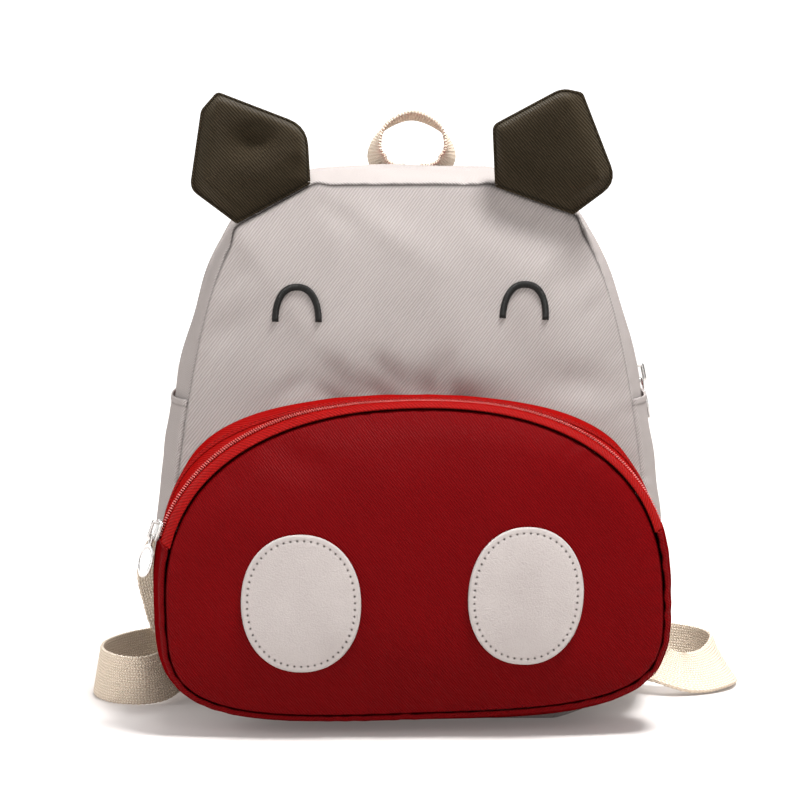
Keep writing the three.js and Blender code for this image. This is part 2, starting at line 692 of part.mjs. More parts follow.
function addNostril(row) {
  const half = { height: NOSTRIL.halfHeight, nx: NOSTRIL.squareness, nz: NOSTRIL.squareness };
  const shape = { x: row.x, z: row.z, roll: row.lean, halfWidth: row.halfWidth, floor: 0 };
  const rim = superEllipse({ ...shape, upper: half, lower: half });
  const underY = (flat) => pocketY(flat) - PATCH_GAP;
  const overY = (flat) => underY(flat) - PATCH_THICKNESS;
  addPiece(row.name, panel(rim, PATCH_SIDES, PATCH_RINGS, { x: row.x, z: row.z }, overY, underY), "patch");
}

// Webbing: a flat band through rows of middle points and width directions

function band(rows, steps) {
  const path = new THREE.CatmullRomCurve3(rows.map((row) => row.point));
  const widths = new THREE.CatmullRomCurve3(rows.map((row) => row.across));
  const loops = Array.from({ length: steps + 1 }, (_, i) => {
    const share = i / steps;
    const along = path.getTangent(share);
    const across = widths.getPoint(share);
    across.addScaledVector(along, -across.dot(along)).setLength(WEBBING.width / 2);
    const out = across.clone().cross(along).setLength(WEBBING.thickness / 2);
    const middle = path.getPoint(share);
    const corner = (side, face) => middle.clone().addScaledVector(across, side).addScaledVector(out, face);
    return [corner(-1, 1), corner(1, 1), corner(1, -1), corner(-1, -1)];
  });
  return sweep(loops, false);
}

function addHaulLoop() {
  const place = (row, side) => ({
    point: new THREE.Vector3(HAUL_LOOP.x + side * row.x, HAUL_LOOP.y, row.z),
    across: new THREE.Vector3(side * row.splay, 1, -HAUL_LOOP.tilt),
  });
  const up = HAUL_ROWS.map((row) => place(row, -1));
  const down = HAUL_ROWS.slice(0, -1).reverse().map((row) => place(row, 1));
  addPiece("haul_loop", band([...up, ...down], HAUL_STEPS), "cotton");
}

function addStrap(strap) {
  const rows = [...STRAP_TOP, ...strap.rows].map((row) => ({
    point: new THREE.Vector3(strap.side * row.out, row.y, row.z),
    across: new THREE.Vector3(strap.side * row.across[0], row.across[1], row.across[2]),
  }));
  addPiece(strap.name, band(rows, STRAP_STEPS), "cotton");
}

// Zip sliders and pulls, modelled along X with the cloth below, and set on the zip as a group

function toManifold(geometry) {
  const bare = geometry.clone();
  bare.deleteAttribute("normal");
  bare.deleteAttribute("uv");
  const merged = mergeVertices(bare);
  const vertProperties = new Float32Array(merged.getAttribute("position").array);
  const triVerts = new Uint32Array(merged.getIndex().array);
  return new wasm.Manifold(new wasm.Mesh({ numProp: 3, vertProperties, triVerts }));
}

function joined(first, second) {
  const mesh = toManifold(first).add(toManifold(second)).getMesh();
  const geometry = new THREE.BufferGeometry();
  geometry.setAttribute("position", new THREE.BufferAttribute(mesh.vertProperties, 3));
  geometry.setIndex(new THREE.BufferAttribute(mesh.triVerts, 1));
  geometry.computeVertexNormals();
  return geometry;
}

function plate(shape, from, thickness) {
  const settings = { depth: thickness, bevelEnabled: false, curveSegments: DISC_STEPS };
  return new THREE.ExtrudeGeometry(shape, settings).translate(0, 0, from);
}

const polygonShape = (pairs) => new THREE.Shape(pairs.map(([x, y]) => new THREE.Vector2(x, y)));

function sliderGeometry() {
  const right = SLIDER_ROWS.map((row) => [row.along, -row.half]);
  const left = SLIDER_ROWS.map((row) => [row.along, row.half]).reverse();
  const body = plate(polygonShape([...right, ...left]), -SLIDER_PLATE, SLIDER_PLATE);
  const { from, to, wire, height, width, corner, innerCorner } = BRIDGE;
  const root = -SLIDER_PLATE / 2;
  const inside = height - wire;
  const arch = plate(polygonShape([
    [from, root], [from + wire, root],
    [from + wire, inside - innerCorner], [from + wire + innerCorner, inside],
    [to - wire - innerCorner, inside], [to - wire, inside - innerCorner],
    [to - wire, root], [to, root],
    [to, height - corner], [to - corner, height], [from + corner, height], [from, height - corner],
  ]), -width / 2, width).rotateX(Math.PI / 2);
  return joined(body, arch);
}

// Pull with the middle of its crossbar at the origin, and its disc twisted on its long axis
function pullGeometry(discTwist) {
  const { wire, corner, end, endBar } = PULL_RING;
  const start = -wire / 2;
  const half = PULL_RING.width / 2;
  const eye = half - wire;
  const reach = end - PULL.along;
  const ring = polygonShape([
    [start, -half + corner], [start + corner, -half], [reach, -half],
    [reach, half], [start + corner, half], [start, half - corner],
  ]);
  const hole = polygonShape([
    [start + wire, -eye], [start + wire, eye], [reach - endBar, eye], [reach - endBar, -eye],
  ]);
  ring.holes.push(hole);
  const middle = reach - PULL_DISC.overlap + PULL_DISC.length / 2;
  const disc = new THREE.Shape()
    .absellipse(middle, 0, PULL_DISC.length / 2, PULL_DISC.width / 2, 0, 2 * Math.PI);
  const under = -PULL.thickness / 2;
  const twisted = plate(disc, under, PULL.thickness).rotateX(THREE.MathUtils.degToRad(discTwist));
  return joined(plate(ring, under, PULL.thickness), twisted);
}

function addSlider(prefix, place, along, out) {
  const across = out.clone().cross(along).normalize();
  const up = along.clone().cross(across).normalize();
  const group = new THREE.Group();
  group.setRotationFromMatrix(new THREE.Matrix4().makeBasis(along, across, up));
  group.position.copy(place).addScaledVector(up, SLIDER_PLATE + GAP);
  backpack.add(group);
  addPiece(`${prefix}_slider`, sliderGeometry(), "steel", group);
  const hinge = new THREE.Group();
  hinge.position.set(PULL.along, 0, PULL.up);
  hinge.rotation.y = THREE.MathUtils.degToRad(SLIDERS[prefix].pullLean);
  group.add(hinge);
  addPiece(`${prefix}_pull`, pullGeometry(SLIDERS[prefix].discTwist), "steel", hinge);
}

function addZipSliders() {
  const step = 2 / DENSE;
  const mainLine = (share) => gussetPlace(share, MAIN_ZIP.y, 0);
  const mainShare = shareAtHeight(crest, SLIDERS.main.z);
  const mainDown = mainLine(mainShare - step).sub(mainLine(mainShare + step)).normalize();
  addSlider("main", mainLine(mainShare), mainDown, new THREE.Vector3(1, 0, 0));
  const pocketLine = (share, shift) => pocketPlace(share, acrossAt(share, POCKET_ZIP.fromSeam) + shift, 0);
  const pocketShare = shareAtHeight(pocketSeam, SLIDERS.pocket.z, true);
  const pocketDown = pocketLine(pocketShare + step, 0).sub(pocketLine(pocketShare - step, 0)).normalize();
  const pocketWidth = pocketLine(pocketShare, step).sub(pocketLine(pocketShare, -step));
  addSlider("pocket", pocketLine(pocketShare, 0), pocketDown, pocketWidth.cross(pocketDown));
}

addBodyPanels();
addGusset();
addPocket();
EARS.forEach(addEar);
EYES.forEach(addEye);
NOSTRILS.forEach(addNostril);
addHaulLoop();
STRAPS.forEach(addStrap);
addZipSliders();

export default backpack;
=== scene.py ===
"""Looks of a child's backpack with an animal face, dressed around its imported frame.

Tables are in millimetres and meshes in metres. +Z is up, the face looks towards -Y, and +X is on
its right as it is seen. The outlines repeat the driving dimensions of the part's own source.
"""
import math

import bmesh
import bpy
import numpy as np
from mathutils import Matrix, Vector


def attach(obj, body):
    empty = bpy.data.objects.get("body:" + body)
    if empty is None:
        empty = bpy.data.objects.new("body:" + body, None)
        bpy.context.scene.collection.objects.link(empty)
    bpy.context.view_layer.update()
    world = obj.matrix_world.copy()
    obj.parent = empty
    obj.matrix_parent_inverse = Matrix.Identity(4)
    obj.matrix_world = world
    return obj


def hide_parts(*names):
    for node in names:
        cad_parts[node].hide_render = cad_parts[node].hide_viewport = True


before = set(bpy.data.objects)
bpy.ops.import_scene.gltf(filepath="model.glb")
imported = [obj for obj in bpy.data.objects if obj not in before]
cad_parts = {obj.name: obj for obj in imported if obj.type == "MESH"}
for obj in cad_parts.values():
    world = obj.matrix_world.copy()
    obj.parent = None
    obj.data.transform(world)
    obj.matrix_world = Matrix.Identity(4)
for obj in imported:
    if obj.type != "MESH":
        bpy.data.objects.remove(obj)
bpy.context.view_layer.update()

MM = 0.001
SAME_POINT = 1e-6
SAME_PLACE = 1e-4
TURN = 2 * math.pi

# Driving dimensions of the cloth, shared with the part's source
WALL = 1.6
GAP = 0.35
PATCH_GAP = 0.5
PATCH_THICKNESS = 1.2
BODY_DEPTH = 90.0
FRONT_SEAM_Y = -BODY_DEPTH / 2
BACK_SEAM_Y = BODY_DEPTH / 2
SEAM = dict(x=-0.7, z=75, roll=0, half=117.5, upper=(188.5, 5.7, 1.2), lower=(80, 3.3, 3.3))
CREST = dict(x=-0.5, z=75, roll=0, half=126, upper=(194.5, 4.68, 1.36), lower=(80, 3.3, 3.3))
GUSSET_ROUNDNESS = 2.2
FACE_CENTRE = np.array([0.0, 120.0])
FRONT_BULGE = dict(depth=17, power=2.4)
BACK_BULGE = dict(depth=5, power=2.4)
MAIN_ZIP = dict(y=10, width=16, sink=1.0)
SLIP_POCKET = dict(hem=157, foot=36)
STRIP_END_Z = 140
POCKET_SEAM_Y = -84.0
POCKET_SEAM = dict(x=0.5, z=67.35, roll=1.75, half=119.5, upper=(92.3, 2.2, 2.44), lower=(56.4, 3.5, 4.2))
POCKET_FOOT = dict(x=-1.5, z=70, roll=0.2, half=114.7, upper=(92, 2.35, 4.2), lower=(67, 3.5, 3.5))
POCKET_CENTRE = np.array([0.2, 70.0])
POCKET_BULGE = dict(depth=11, power=2.4)
POCKET_SIDE_BULGE = dict(depth=7.2, upper_power=6, lower_power=0.9)
POCKET_ARCH_BULGE = dict(depth=0.6, power=2, roundness=2.2)
POCKET_BASE_BULGE = dict(depth=2.3, power=2, roundness=5)
POCKET_ZIP = dict(end=98, from_seam=12)

# Dents of the cloth: middle x and z, direction in degrees, half length, half width, depth. A ridge is
# a negative dent. The puckers along the pocket are only shown here
FOLD_FADE = 8
FACE_FOLDS = [
    (-38, 250, -35, 13, 5, 2),
    (-11, 241, -34, 26, 8, -2.4),
    (-89, 194, 40, 14, 7, 2.8),
    (-86, 219, 30, 12, 7, 1.6),
    (80, 221, 40, 14, 8, 2.4),
    (83, 167, -8, 18, 9, 3),
    (-36, 172, -45, 11, 6, 2.2),
    (-11, 173, -45, 11, 6, 2.2),
    (14, 174, 70, 11, 7, 2.2),
]
POCKET_FOLDS = [
    (-60, 138, -20, 15, 8, 2.6),
    (-86, 126, 40, 9, 5, 1.4),
]
FACE_PUCKERS = [
    (-4, 158, 0, 60, 13, 2.6),
    (-38, 160, -45, 12, 6, 2.4),
    (-13.5, 161, -45, 12, 6, 2.4),
    (8, 162, -60, 12, 6, 2.4),
    (24, 159, -50, 10, 6, 2.6),
    (-58, 166, 35, 10, 4, 1.3),
    (92, 206, 35, 12, 4, 1.2),
    (55, 244, -20, 30, 10, 7),
]

# Power of the shown face's crown, which is a little fuller than its solid
FACE_FULLNESS = 3.4

# Unevenness of the panels: height, wavelength and seed
RIPPLES = dict(face=(0.45, 42, 3), back=(0.6, 55, 5), pocket=(0.4, 48, 7))

# Ears: ends of the sewn edge, forward slope, how far the shown ear is set down and forward over the
# seam, and the other corners from the outer side to the inner side, as out, up and rounding
EARS = {
    "ear_left": dict(
        inner=(-49.6, 263), outer=(-83.9, 244.3), slope=0.0, down=0.4, forward=-1.2,
        corners=[(31.2, 25.5, 4), (8.5, 55.4, 1.5), (-2, 59.2, 1.5), (-31.3, 24.8, 9)],
    ),
    "ear_right": dict(
        inner=(41.1, 263), outer=(77.5, 249.9), slope=0.2, down=1.7, forward=2.5,
        corners=[(33.4, 21.8, 8), (3, 55.5, 1.5), (-6.5, 54.2, 4), (-30.8, 27, 2.5)],
    ),
}
EAR = dict(base_round=1, middle_up=25, thickness=16)
EAR_Y = -46.6
EAR_SEAM_BLEND = 10
# Ear's edge and base. Their shade and dark values set the width and strength of the painted shade along the
# rim and the sewn base
EAR_EDGE = dict(bevel=8.0, bevel_start=0.12, turn=4.5, roll=0.75, shade=1.0, dark=0.6, corner_power=14)
EAR_BASE = dict(taper=16.0, power=0.7, pinned=1.5, shade=1.5, edge_from=0.5)

# Hollows in the ears: place from the middle of the base outwards and up, radius, depth
EAR_DENT_FADE = 4
EAR_DENTS = {
    "ear_left": [(-2.5, 32, 8, 4.4), (-9.5, 30.5, 7, 4.4), (-20, 10, 4, 1.4), (10, 14, 8, 1.2)],
    "ear_right": [(-3, 26, 12, 1.6)],
}

# Padding of the ears: squares along each face, share of the thickness at the start, frames of the
# simulation, the furthest a point may move, and the cloth's settings
EAR_GRID = 46
EAR_START = 0.9
EAR_FRAMES = 14
EAR_FURTHEST = 2.5
EAR_CLOTH = dict(
    vertex_group_mass="sewn", quality=8, mass=0.15, tension_stiffness=18, compression_stiffness=18,
    shear_stiffness=8, bending_stiffness=0.4, use_pressure=True, uniform_pressure_force=3.0,
)

# Eyes and nostril patches
EYES = {"eye_left": (-55.5, 197.6, 0), "eye_right": (53.6, 198.8, -3)}
EYE = dict(half=10.4, height=16.6, squareness=2.3, stroke=3.2, rise=1.3, base=0.15, end=1.2)
EYE_STRAND = dict(pitch=0.9, depth=0.06)
EYE_STEPS = 170
EYE_ROWS = 13
NOSTRILS = {"nostril_patch_left": (-53.6, 66.9, 0, 28.4), "nostril_patch_right": (52.8, 70.2, -4, 27.4)}
NOSTRIL = dict(half_height=33.1, squareness=2.15)
PATCH_EDGE = dict(round=0.9, extra=0.25, low=0.25, rise=0.75)
# Stitches round the patches; dark is the strength of the painted shade in their holes
STITCH = dict(
    inset=2.9, pitch=3.2, steps=10, groove=0.2, groove_width=0.5, pit=0.5, pit_width=0.42,
    ridge=0.16, ridge_width=0.3, ridge_from=(0.4, 0.9), dark=1.2,
)

# Distances from a patch's edge at which its surface is drawn
PATCH_DISTANCES = np.concatenate([
    np.linspace(0, 1, 9)[:-1] ** 1.6, np.linspace(1, 2, 4)[:-1], np.linspace(2, 4.2, 14), [6, 9, 13, 18, 23],
])

# Webbing: haul loop rows are x, z and splay; strap rows are out, y, z and the width direction
WEBBING = dict(width=25, thickness=1.8, edge=0.22, body=0.78, edge_power=16)
SELVAGE = dict(rise=0.18, place=0.93, width=0.8)
SCALLOP = dict(depth=0.012, pitch=2.8)
BAND_PLACES = np.concatenate([[-1, -0.985, -0.95], np.linspace(-0.88, 0.88, 11), [0.95, 0.985, 1]])
HAUL_LOOP = dict(x=2, y=31, tilt=0.17)
HAUL_ROWS = [
    (4, 268.2, 0), (11, 268.5, 0.2), (16.8, 271.6, 0.34),
    (18.6, 278.5, 0.22), (14.2, 288.5, 0.1), (0, 295.1, 0),
]
STRAP_TOP = [
    (27, 48.9, 258, 1, 0, 0),
    (27.5, 50.2, 240, 1, 0, 0),
    (31, 61, 219, 1, 0, 0.1),
    (43, 76, 185, 0.96, 0, 0.28),
    (61, 84, 146, 0.92, 0, 0.4),
]
STRAP_LEFT = [
    (84, 86, 110, 0.8, -0.1, 0.6),
    (110, 77, 81, 0.65, -0.2, 0.73),
    (129.5, 66, 58.5, 0.93, -0.05, 0.36),
    (127, 58, 42, 0.96, 0, -0.26),
    (121.5, 56, 28, 0.8, 0, -0.6),
    (104, 57.5, 17.2, 0.4, 0, -0.9),
    (84, 62, 13.6, 0.1, 0, -0.99),
    (69, 70, 12.9, 0, 0, -1),
    (76, 79, 12.9, 0, 0, -1),
    (98, 77, 12.9, 0, 0, -1),
    (124, 68, 12.9, 0, 0, -1),
    (146, 51, 12.9, 0.12, 0, -0.99),
    (158.5, 27, 12.9, 0.16, 0, -0.98),
    (157, 5, 12.9, 0.16, 0.05, -0.98),
    (147, -10, 12.9, 0.1, 0.1, -0.99),
    (134.5, -14.5, 13.1, 0, 0.1, -0.99),
    (125, -8, 14, -0.15, 0, -0.99),
    (119.2, 6, 16.8, -0.42, 0, -0.9),
    (114.2, 24, 19, -0.634, 0, -0.773),
    (111.4, 41, 19, -0.634, 0, -0.773),
]
STRAP_RIGHT = [
    (80, 85, 108, 0.86, -0.1, 0.5),
    (96, 76, 78, 0.92, 0, 0.36),
    (101, 66, 50, 1, 0, 0),
    (97, 60, 31.5, 0.89, 0, -0.45),
    (85, 60, 19, 0.55, 0, -0.83),
    (71, 64, 13.8, 0.15, 0, -0.99),
    (61, 72, 12.9, 0, 0, -1),
    (68, 81, 12.9, 0, 0, -1),
    (92, 79, 12.9, 0, 0, -1),
    (122, 72, 12.9, 0.1, -0.1, -0.98),
    (149, 63, 12.7, 0.25, -0.15, -0.95),
    (164, 45, 12.4, 0.45, -0.15, -0.87),
    (160, 24, 10.8, 0.5, -0.52, -0.69),
    (144, 12, 10.2, 0.22, -0.7, -0.68),
    (129.5, 13, 14.2, -0.02, -0.8, -0.6),
    (121, 21, 17.8, -0.35, -0.35, -0.87),
    (114, 31, 19.4, -0.634, 0, -0.773),
    (111.2, 42, 19, -0.634, 0, -0.773),
]
STRAPS = {"shoulder_strap_left": (-1, STRAP_LEFT), "shoulder_strap_right": (1, STRAP_RIGHT)}

# Zip sliders, along the zip and away from the cloth. Each has a height, and its pull a lean and a twist
SLIDER_PLATE = 1.8
SLIDER_ROWS = [(-5, 2.9), (-3, 3.9), (1.5, 3.6), (5, 2.5)]
SLIDER_CORNER = 0.8
SLIDER_POINTS = 64
BRIDGE = dict(start=-4, end=5, wire=1.1, height=3.2, width=2, foot=-0.5, bend=1.0)
PULL = dict(along=2.9, up=1.25)
PULL_RING = dict(width=5.6, wire=1.1, end=7.9, bend=0.8)
PULL_DISC = dict(length=16.8, width=8.8, overlap=0.5, points=72)
METAL_SHARP = 38

# Slider's plates as heights above their underside and insets, and the pull's disc as shares of its
# radius and half thicknesses
SLIDER_LAYERS = [
    (0, 0.3), (0.2, 0), (0.6, 0), (0.7, 0.5), (0.95, 0.5), (1.05, 0), (1.5, 0), (1.72, 0.15), (1.8, 0.4),
]
PULL_PROFILE = [
    (0, 0.3), (0.3, 0.33), (0.62, 0.3), (0.74, 0.3), (0.8, 0.5), (0.88, 0.55), (0.95, 0.48), (1.0, 0.2),
]
SLIDERS = {"main": (165.5, 0, 0), "pocket": (93.8, 4, -40)}

# Sewing that only shows: cloth thickness, rolled edges, stitches, and painted shade in seams, grooves and
# stitches
CLOTH = 1.0
EDGE_ROLL = 1.6
FACING_ROLL = 0.8
BEAD = dict(roll=1.2, rise=1.5, reach=5.0, spread=1.4, dark=0.5, seed=41)
GATHER = dict(height=0.4, pitch=7.0, reach=7.0, even=0.6, change=0.4, patch=45)
SEAM_SHADE = 0.9
SLIP = dict(lift=1.25, slack=0.6, sag=3.0, settle=12, seed=31)
HEM = dict(width=4.2, step=0.7, rise=0.5)
HEM_STITCH = dict(place=3.4, depth=0.35, width=0.5, dark=0.35, dark_width=0.45)
TOOTH = dict(pitch=1.2, length=1.35, width=0.7, rise=0.65, spread=0.62, overlap=1.25)
ZIP_FOLD = dict(turn=0.6, roll=0.9)
ZIP_TEETH_LIFT = -0.7
ZIP_LIP = dict(rise=1.1, reach=5.0)
GUSSET_SOFT = dict(height=0.5, scale=38)
GUSSET_SHADE = dict(sides=0.3, top=0.6, below=-0.5)
BASE_FLAT = (8, 45)

# Rolled edges of the panels, with the strength (dark) and width (shade) of the painted shade along their
# seams: each value low on the seam, and what is added between two heights
FACE_EDGE = dict(
    heights=(205, 245), radius=(0.8, 0.9), inset=(0.3, 0.6), ease=(0, 0), reach=(1, 1), dark=(0.4, 0.6),
    shade=(0.7, 0.5),
)
POCKET_EDGE = dict(
    heights=(60, 115), radius=(1.3, 0.1), inset=(0.9, 0.9), ease=(0.5, 2.9), reach=(8, 8), dark=(0.7, 0),
    shade=(0.6, -0.1),
)

# Zip in the front pocket, as distances from the seam of its front. Its dark values are strengths of painted
# shade in grooves, folds and stitch dents
FACING_END = 7.6
FACING_SWELL = 1.0
FACING_FOLD = 0.6
FACING_PAINTED_SHADE = 0.8
COIL = dict(middle=11.2, lift=-0.4, groove=2.2, groove_width=0.6, dark=0.85)
TAPE = dict(start=6.8, sink=1.0, under=1)
BINDING = dict(width=10.5, nearest=14.5, spread=1.5, rise=0.45, tuck=1.2, tuck_reach=0.35)
BINDING_STITCH = dict(place=1.3, width=0.35, depth=0.25, pitch=2.4, gaps=(-0.5, 0.3), dark=0.8)

# Facets: stations along an outline, rows across a strip, rings of a panel
DENSE = 480
STATIONS = dict(
    face=380, back=190, pocket=340, arch=330, base=300, pocket_arch=420, pocket_base=330, slip=150,
)
ROWS = dict(strip=26, base=36, slip=34, main_tape=14, facing=14, tape=26, binding=22, bead=11, pocket_base=34)
RINGS = dict(face=(44, 14, 0.93), back=(26, 10, 0.93), pocket=(40, 20, 0.86))
STRAP_STEPS = 560
HAUL_STEPS = 150
WIRE_SIDES = 12

# Twills: threads and painted seam shade as screen colours, ribs by angle, pitch and depth, and whether gloss
# fades aslant
TWILLS = {
    "grey_twill": dict(
        dark=(134, 127, 124), light=(168, 161, 158), painted_seam_shade=(30, 23, 20), angle=142, pitch=1.25,
        depth=0.2, gloss=0.1, rough=0.72, fade=True, sheen=0.0,
    ),
    "dark_red_twill": dict(
        dark=(82, 3, 6), light=(108, 6, 9), painted_seam_shade=(22, 2, 3), angle=38, pitch=1.15,
        depth=0.16, gloss=0.025, rough=0.45, fade=True, sheen=0.0,
    ),
    "bright_red_twill": dict(
        dark=(108, 7, 7), light=(146, 16, 14), painted_seam_shade=(36, 3, 3), angle=140, pitch=1.4,
        depth=0.18, gloss=0.04, rough=0.5, fade=True, sheen=0.0,
    ),
    "olive_twill": dict(
        dark=(12, 10, 6), light=(60, 51, 38), painted_seam_shade=(3, 3, 2), angle=42, pitch=1.2,
        depth=0.26, gloss=0.03, rough=0.6, fade=False, sheen=0.1,
    ),
}
TWILL_RIBS = dict(
    drift_scale=160, drift=2.2, thread_turn=62, thread_pitch=0.42, thread_height=0.3, polish=-0.12,
)
TWILL_TONE = dict(contrast=0.62, cloud=0.3, cloud_scale=28)
SHEEN = dict(sheen_roughness=0.45, sheen_tint=(0.8, 0.7, 0.52, 1))
GLOSS_FADE = (0.35, 0.7)

# Other looks: screen colours, pattern scales, roughness with its change over the pattern, bump depth
THREAD = dict(
    dark=(6, 6, 5), light=(24, 23, 21), pitch=0.55, drift_scale=900, drift=2.0, rough=0.5, change=-0.1,
)
# The stitch colour is the painted shade in the patches' stitch holes
LEATHER = dict(dark=(164, 156, 153), light=(184, 177, 174), pore=(150, 142, 138), stitch=(52, 46, 44))
LEATHER_GRAIN = dict(cells=1300.0, fine=2600, fine_height=0.8, cloud=45, pores=0.16, rough=0.5, change=0.12)
COTTON = dict(dark=(190, 170, 147), light=(236, 225, 210), contrast=0.75, fuzz=0.3, rough=0.82, change=0.1)
COTTON_WEAVE = dict(column=2.8, lean=2.6, stitch=1.5, stitch_power=0.7, cell=1.4, cell_power=0.6, fuzz=1800)
# The coil's colours: its own red, and a light pink that is painted highlight
COIL_LOOK = dict(dark=(146, 30, 28), light=(206, 96, 90), scale=900, rough=0.25, change=0.2)
METAL = dict(dark=(176, 174, 172), light=(232, 230, 228), scale=700, fine=2400, rough=0.14, change=0.16)
BUMPS = dict(thread=0.1, leather=0.12, cotton=0.5, fuzz=0.25, coil=0.05, metal=0.02)

# Stage: corners, colour, glow and the glow's tint. Lights: place, aim and size in metres, power in watts
STAGES = {
    "floor": dict(
        corners=[(-4000, -4000, 0), (4000, -4000, 0), (4000, 1700, 0), (-4000, 1700, 0)],
        colour=(0.54, 0.515, 0.5), glow=0.12, tint=(1, 0.9, 0.87),
    ),
    "backdrop": dict(
        corners=[(-7000, 3000, -1500), (7000, 3000, -1500), (7000, 3000, 6000), (-7000, 3000, 6000)],
        colour=(0.5, 0.5, 0.5), glow=1.0, tint=(1, 1, 1),
    ),
}
STAGE_FINISH = dict(specular_ior_level=0.05, roughness=0.9)
STAGE_CLOUD = dict(scale=3.0, brighter=1.03)
LIGHTS = {
    "key": dict(place=(0.35, -0.4, 1.5), aim=(0, 0, 0.12), size=0.4, power=38),
    "fill": dict(place=(0.3, -1.4, 0.7), aim=(0, 0, 0.14), size=1.2, power=8),
    "side": dict(place=(-1.2, -0.4, 0.5), aim=(0, 0, 0.12), size=1.0, power=8),
    "back": dict(place=(0.1, 1.1, 1.6), aim=(0, 0.9, 0), size=1.0, power=36),
}
SURROUND = dict(bright_side=(0, 0.5, 0.85), low=-0.4, high=0.8, dim=0.1, bright=0.5)
CAMERA = dict(azimuth=-1.2, elevation=6.5, distance=1400, target=(-4.8, 0, 153), mm_per_pixel=0.503)
FRAME_PIXELS = 800
SENSOR = 36.0

# Outlines in the X-Z plane, run from the bottom over the right side, the top and the left side


def unit(vectors):
    return vectors / np.linalg.norm(vectors, axis=-1, keepdims=True)


def smooth(value, low, high):
    part = np.clip((value - low) / (high - low), 0, 1)
    return part * part * (3 - 2 * part)


def hump(value, width):
    """A smooth hump of height 1 about zero."""
    return np.exp(-((value / width) ** 2))


def run_along(path):
    """Distance from a path's start to each of its points."""
    return np.concatenate([[0], np.cumsum(np.linalg.norm(np.diff(path, axis=0), axis=1))])


def standing(flats, y):
    """Points at flat places in the X-Z plane, each at its own depth."""
    return np.stack([flats[..., 0], y, flats[..., 1]], axis=-1)


def evenly(points, count):
    path = np.concatenate([points, points[:1]])
    reach = run_along(path)
    places = np.arange(count) / count * reach[-1]
    return np.stack([np.interp(places, reach, path[:, k]) for k in (0, 1)], axis=1)


def super_ellipse(shape):
    turn = (np.arange(DENSE) / DENSE - 0.25) * TURN
    halves = np.where(np.sin(turn)[:, None] >= 0, shape["upper"], shape["lower"])
    height, nx, nz = halves.T
    across = shape["half"] * np.sign(np.cos(turn)) * np.abs(np.cos(turn)) ** (2 / nx)
    up = height * np.sign(np.sin(turn)) * np.abs(np.sin(turn)) ** (2 / nz)
    roll = math.radians(shape["roll"])
    x = shape["x"] + across * math.cos(roll) - up * math.sin(roll)
    z = shape["z"] + across * math.sin(roll) + up * math.cos(roll)
    return evenly(np.stack([x, np.maximum(z, 0)], axis=1), DENSE)


def outwards(points):
    along = unit(np.roll(points, -1, axis=0) - np.roll(points, 1, axis=0))
    return np.stack([along[:, 1], -along[:, 0]], axis=1)


def straighten(points, ear):
    """The seam runs straight along an ear's sewn edge and eases back to its own line beyond it."""
    start = np.array(ear["inner"], float)
    chord = np.array(ear["outer"], float) - start
    length = np.linalg.norm(chord)
    along = chord / length
    out = np.array([-along[1], along[0]]) * np.sign(along[0])
    offset = points - start
    past = np.maximum(np.maximum(-offset @ along, offset @ along - length), 0)
    near = np.abs(offset @ out) < EAR_SEAM_BLEND
    pull = np.where(near, 1 - smooth(past, 0, EAR_SEAM_BLEND), 0)
    return points - (offset @ out * pull)[:, None] * out


def at(points, shares):
    """Point of an outline at shares of its length."""
    place = np.mod(shares, 1.0) * len(points)
    first = np.floor(place).astype(int) % len(points)
    part = (place - np.floor(place))[..., None]
    return points[first] * (1 - part) + points[(first + 1) % len(points)] * part


def share_at_height(points, height, left=False):
    count = len(points)
    for i in range(count // 12, count // 2):
        place = count - i if left else i
        if points[place, 1] >= height:
            return place / count
    return 0.5


def outline_length(points):
    return float(np.linalg.norm(np.roll(points, -1, axis=0) - points, axis=1).sum())


seam = super_ellipse(SEAM)
for ear in EARS.values():
    seam = straighten(seam, ear)
crest = super_ellipse(CREST)
pocket_seam = super_ellipse(POCKET_SEAM)
pocket_foot = super_ellipse(POCKET_FOOT)
seam_out, crest_out = outwards(seam), outwards(crest)
pocket_seam_out, pocket_foot_out = outwards(pocket_seam), outwards(pocket_foot)
SEAM_LENGTH = outline_length(seam)
POCKET_SEAM_LENGTH = outline_length(pocket_seam)

# Cloth surfaces


def share_out(points, centre, flats):
    """How far out each flat point is, from the panel's middle (0) to its seam (1)."""
    rays = points - centre
    angles = np.arctan2(rays[:, 1], rays[:, 0])
    reach = np.hypot(rays[:, 0], rays[:, 1])
    away = flats - centre
    limit = np.interp(np.arctan2(away[..., 1], away[..., 0]), angles, reach, period=TURN)
    return np.minimum(np.hypot(away[..., 0], away[..., 1]) / limit, 1)


def crown(bulge, out):
    return bulge["depth"] * (1 - np.minimum(out, 1) ** bulge["power"])


def fold_depth(rows, flats):
    total = np.zeros(flats.shape[:-1])
    for x, z, angle, length, width, depth in rows:
        turn = math.radians(angle)
        dx, dz = flats[..., 0] - x, flats[..., 1] - z
        along = dx * math.cos(turn) + dz * math.sin(turn)
        across = dz * math.cos(turn) - dx * math.sin(turn)
        total += depth * np.exp(-((along / length) ** 2) - (across / width) ** 2)
    return total


def ripple(flats, scale, seed, count=9):
    """Smooth unevenness between about -1 and 1 over a plane, at a wavelength in millimetres."""
    draw = np.random.default_rng(seed)
    total = np.zeros(flats.shape[:-1])
    for turn, stretch, phase in draw.uniform([0, 0.7, 0], [TURN, 1.6, TURN], (count, 3)):
        across = flats[..., 0] * math.cos(turn) + flats[..., 1] * math.sin(turn)
        total += np.sin(across * TURN / (scale * stretch) + phase)
    return total / math.sqrt(count)


def uneven(name, flats):
    """A panel's own unevenness."""
    height, scale, seed = RIPPLES[name]
    return height * ripple(flats, scale, seed)


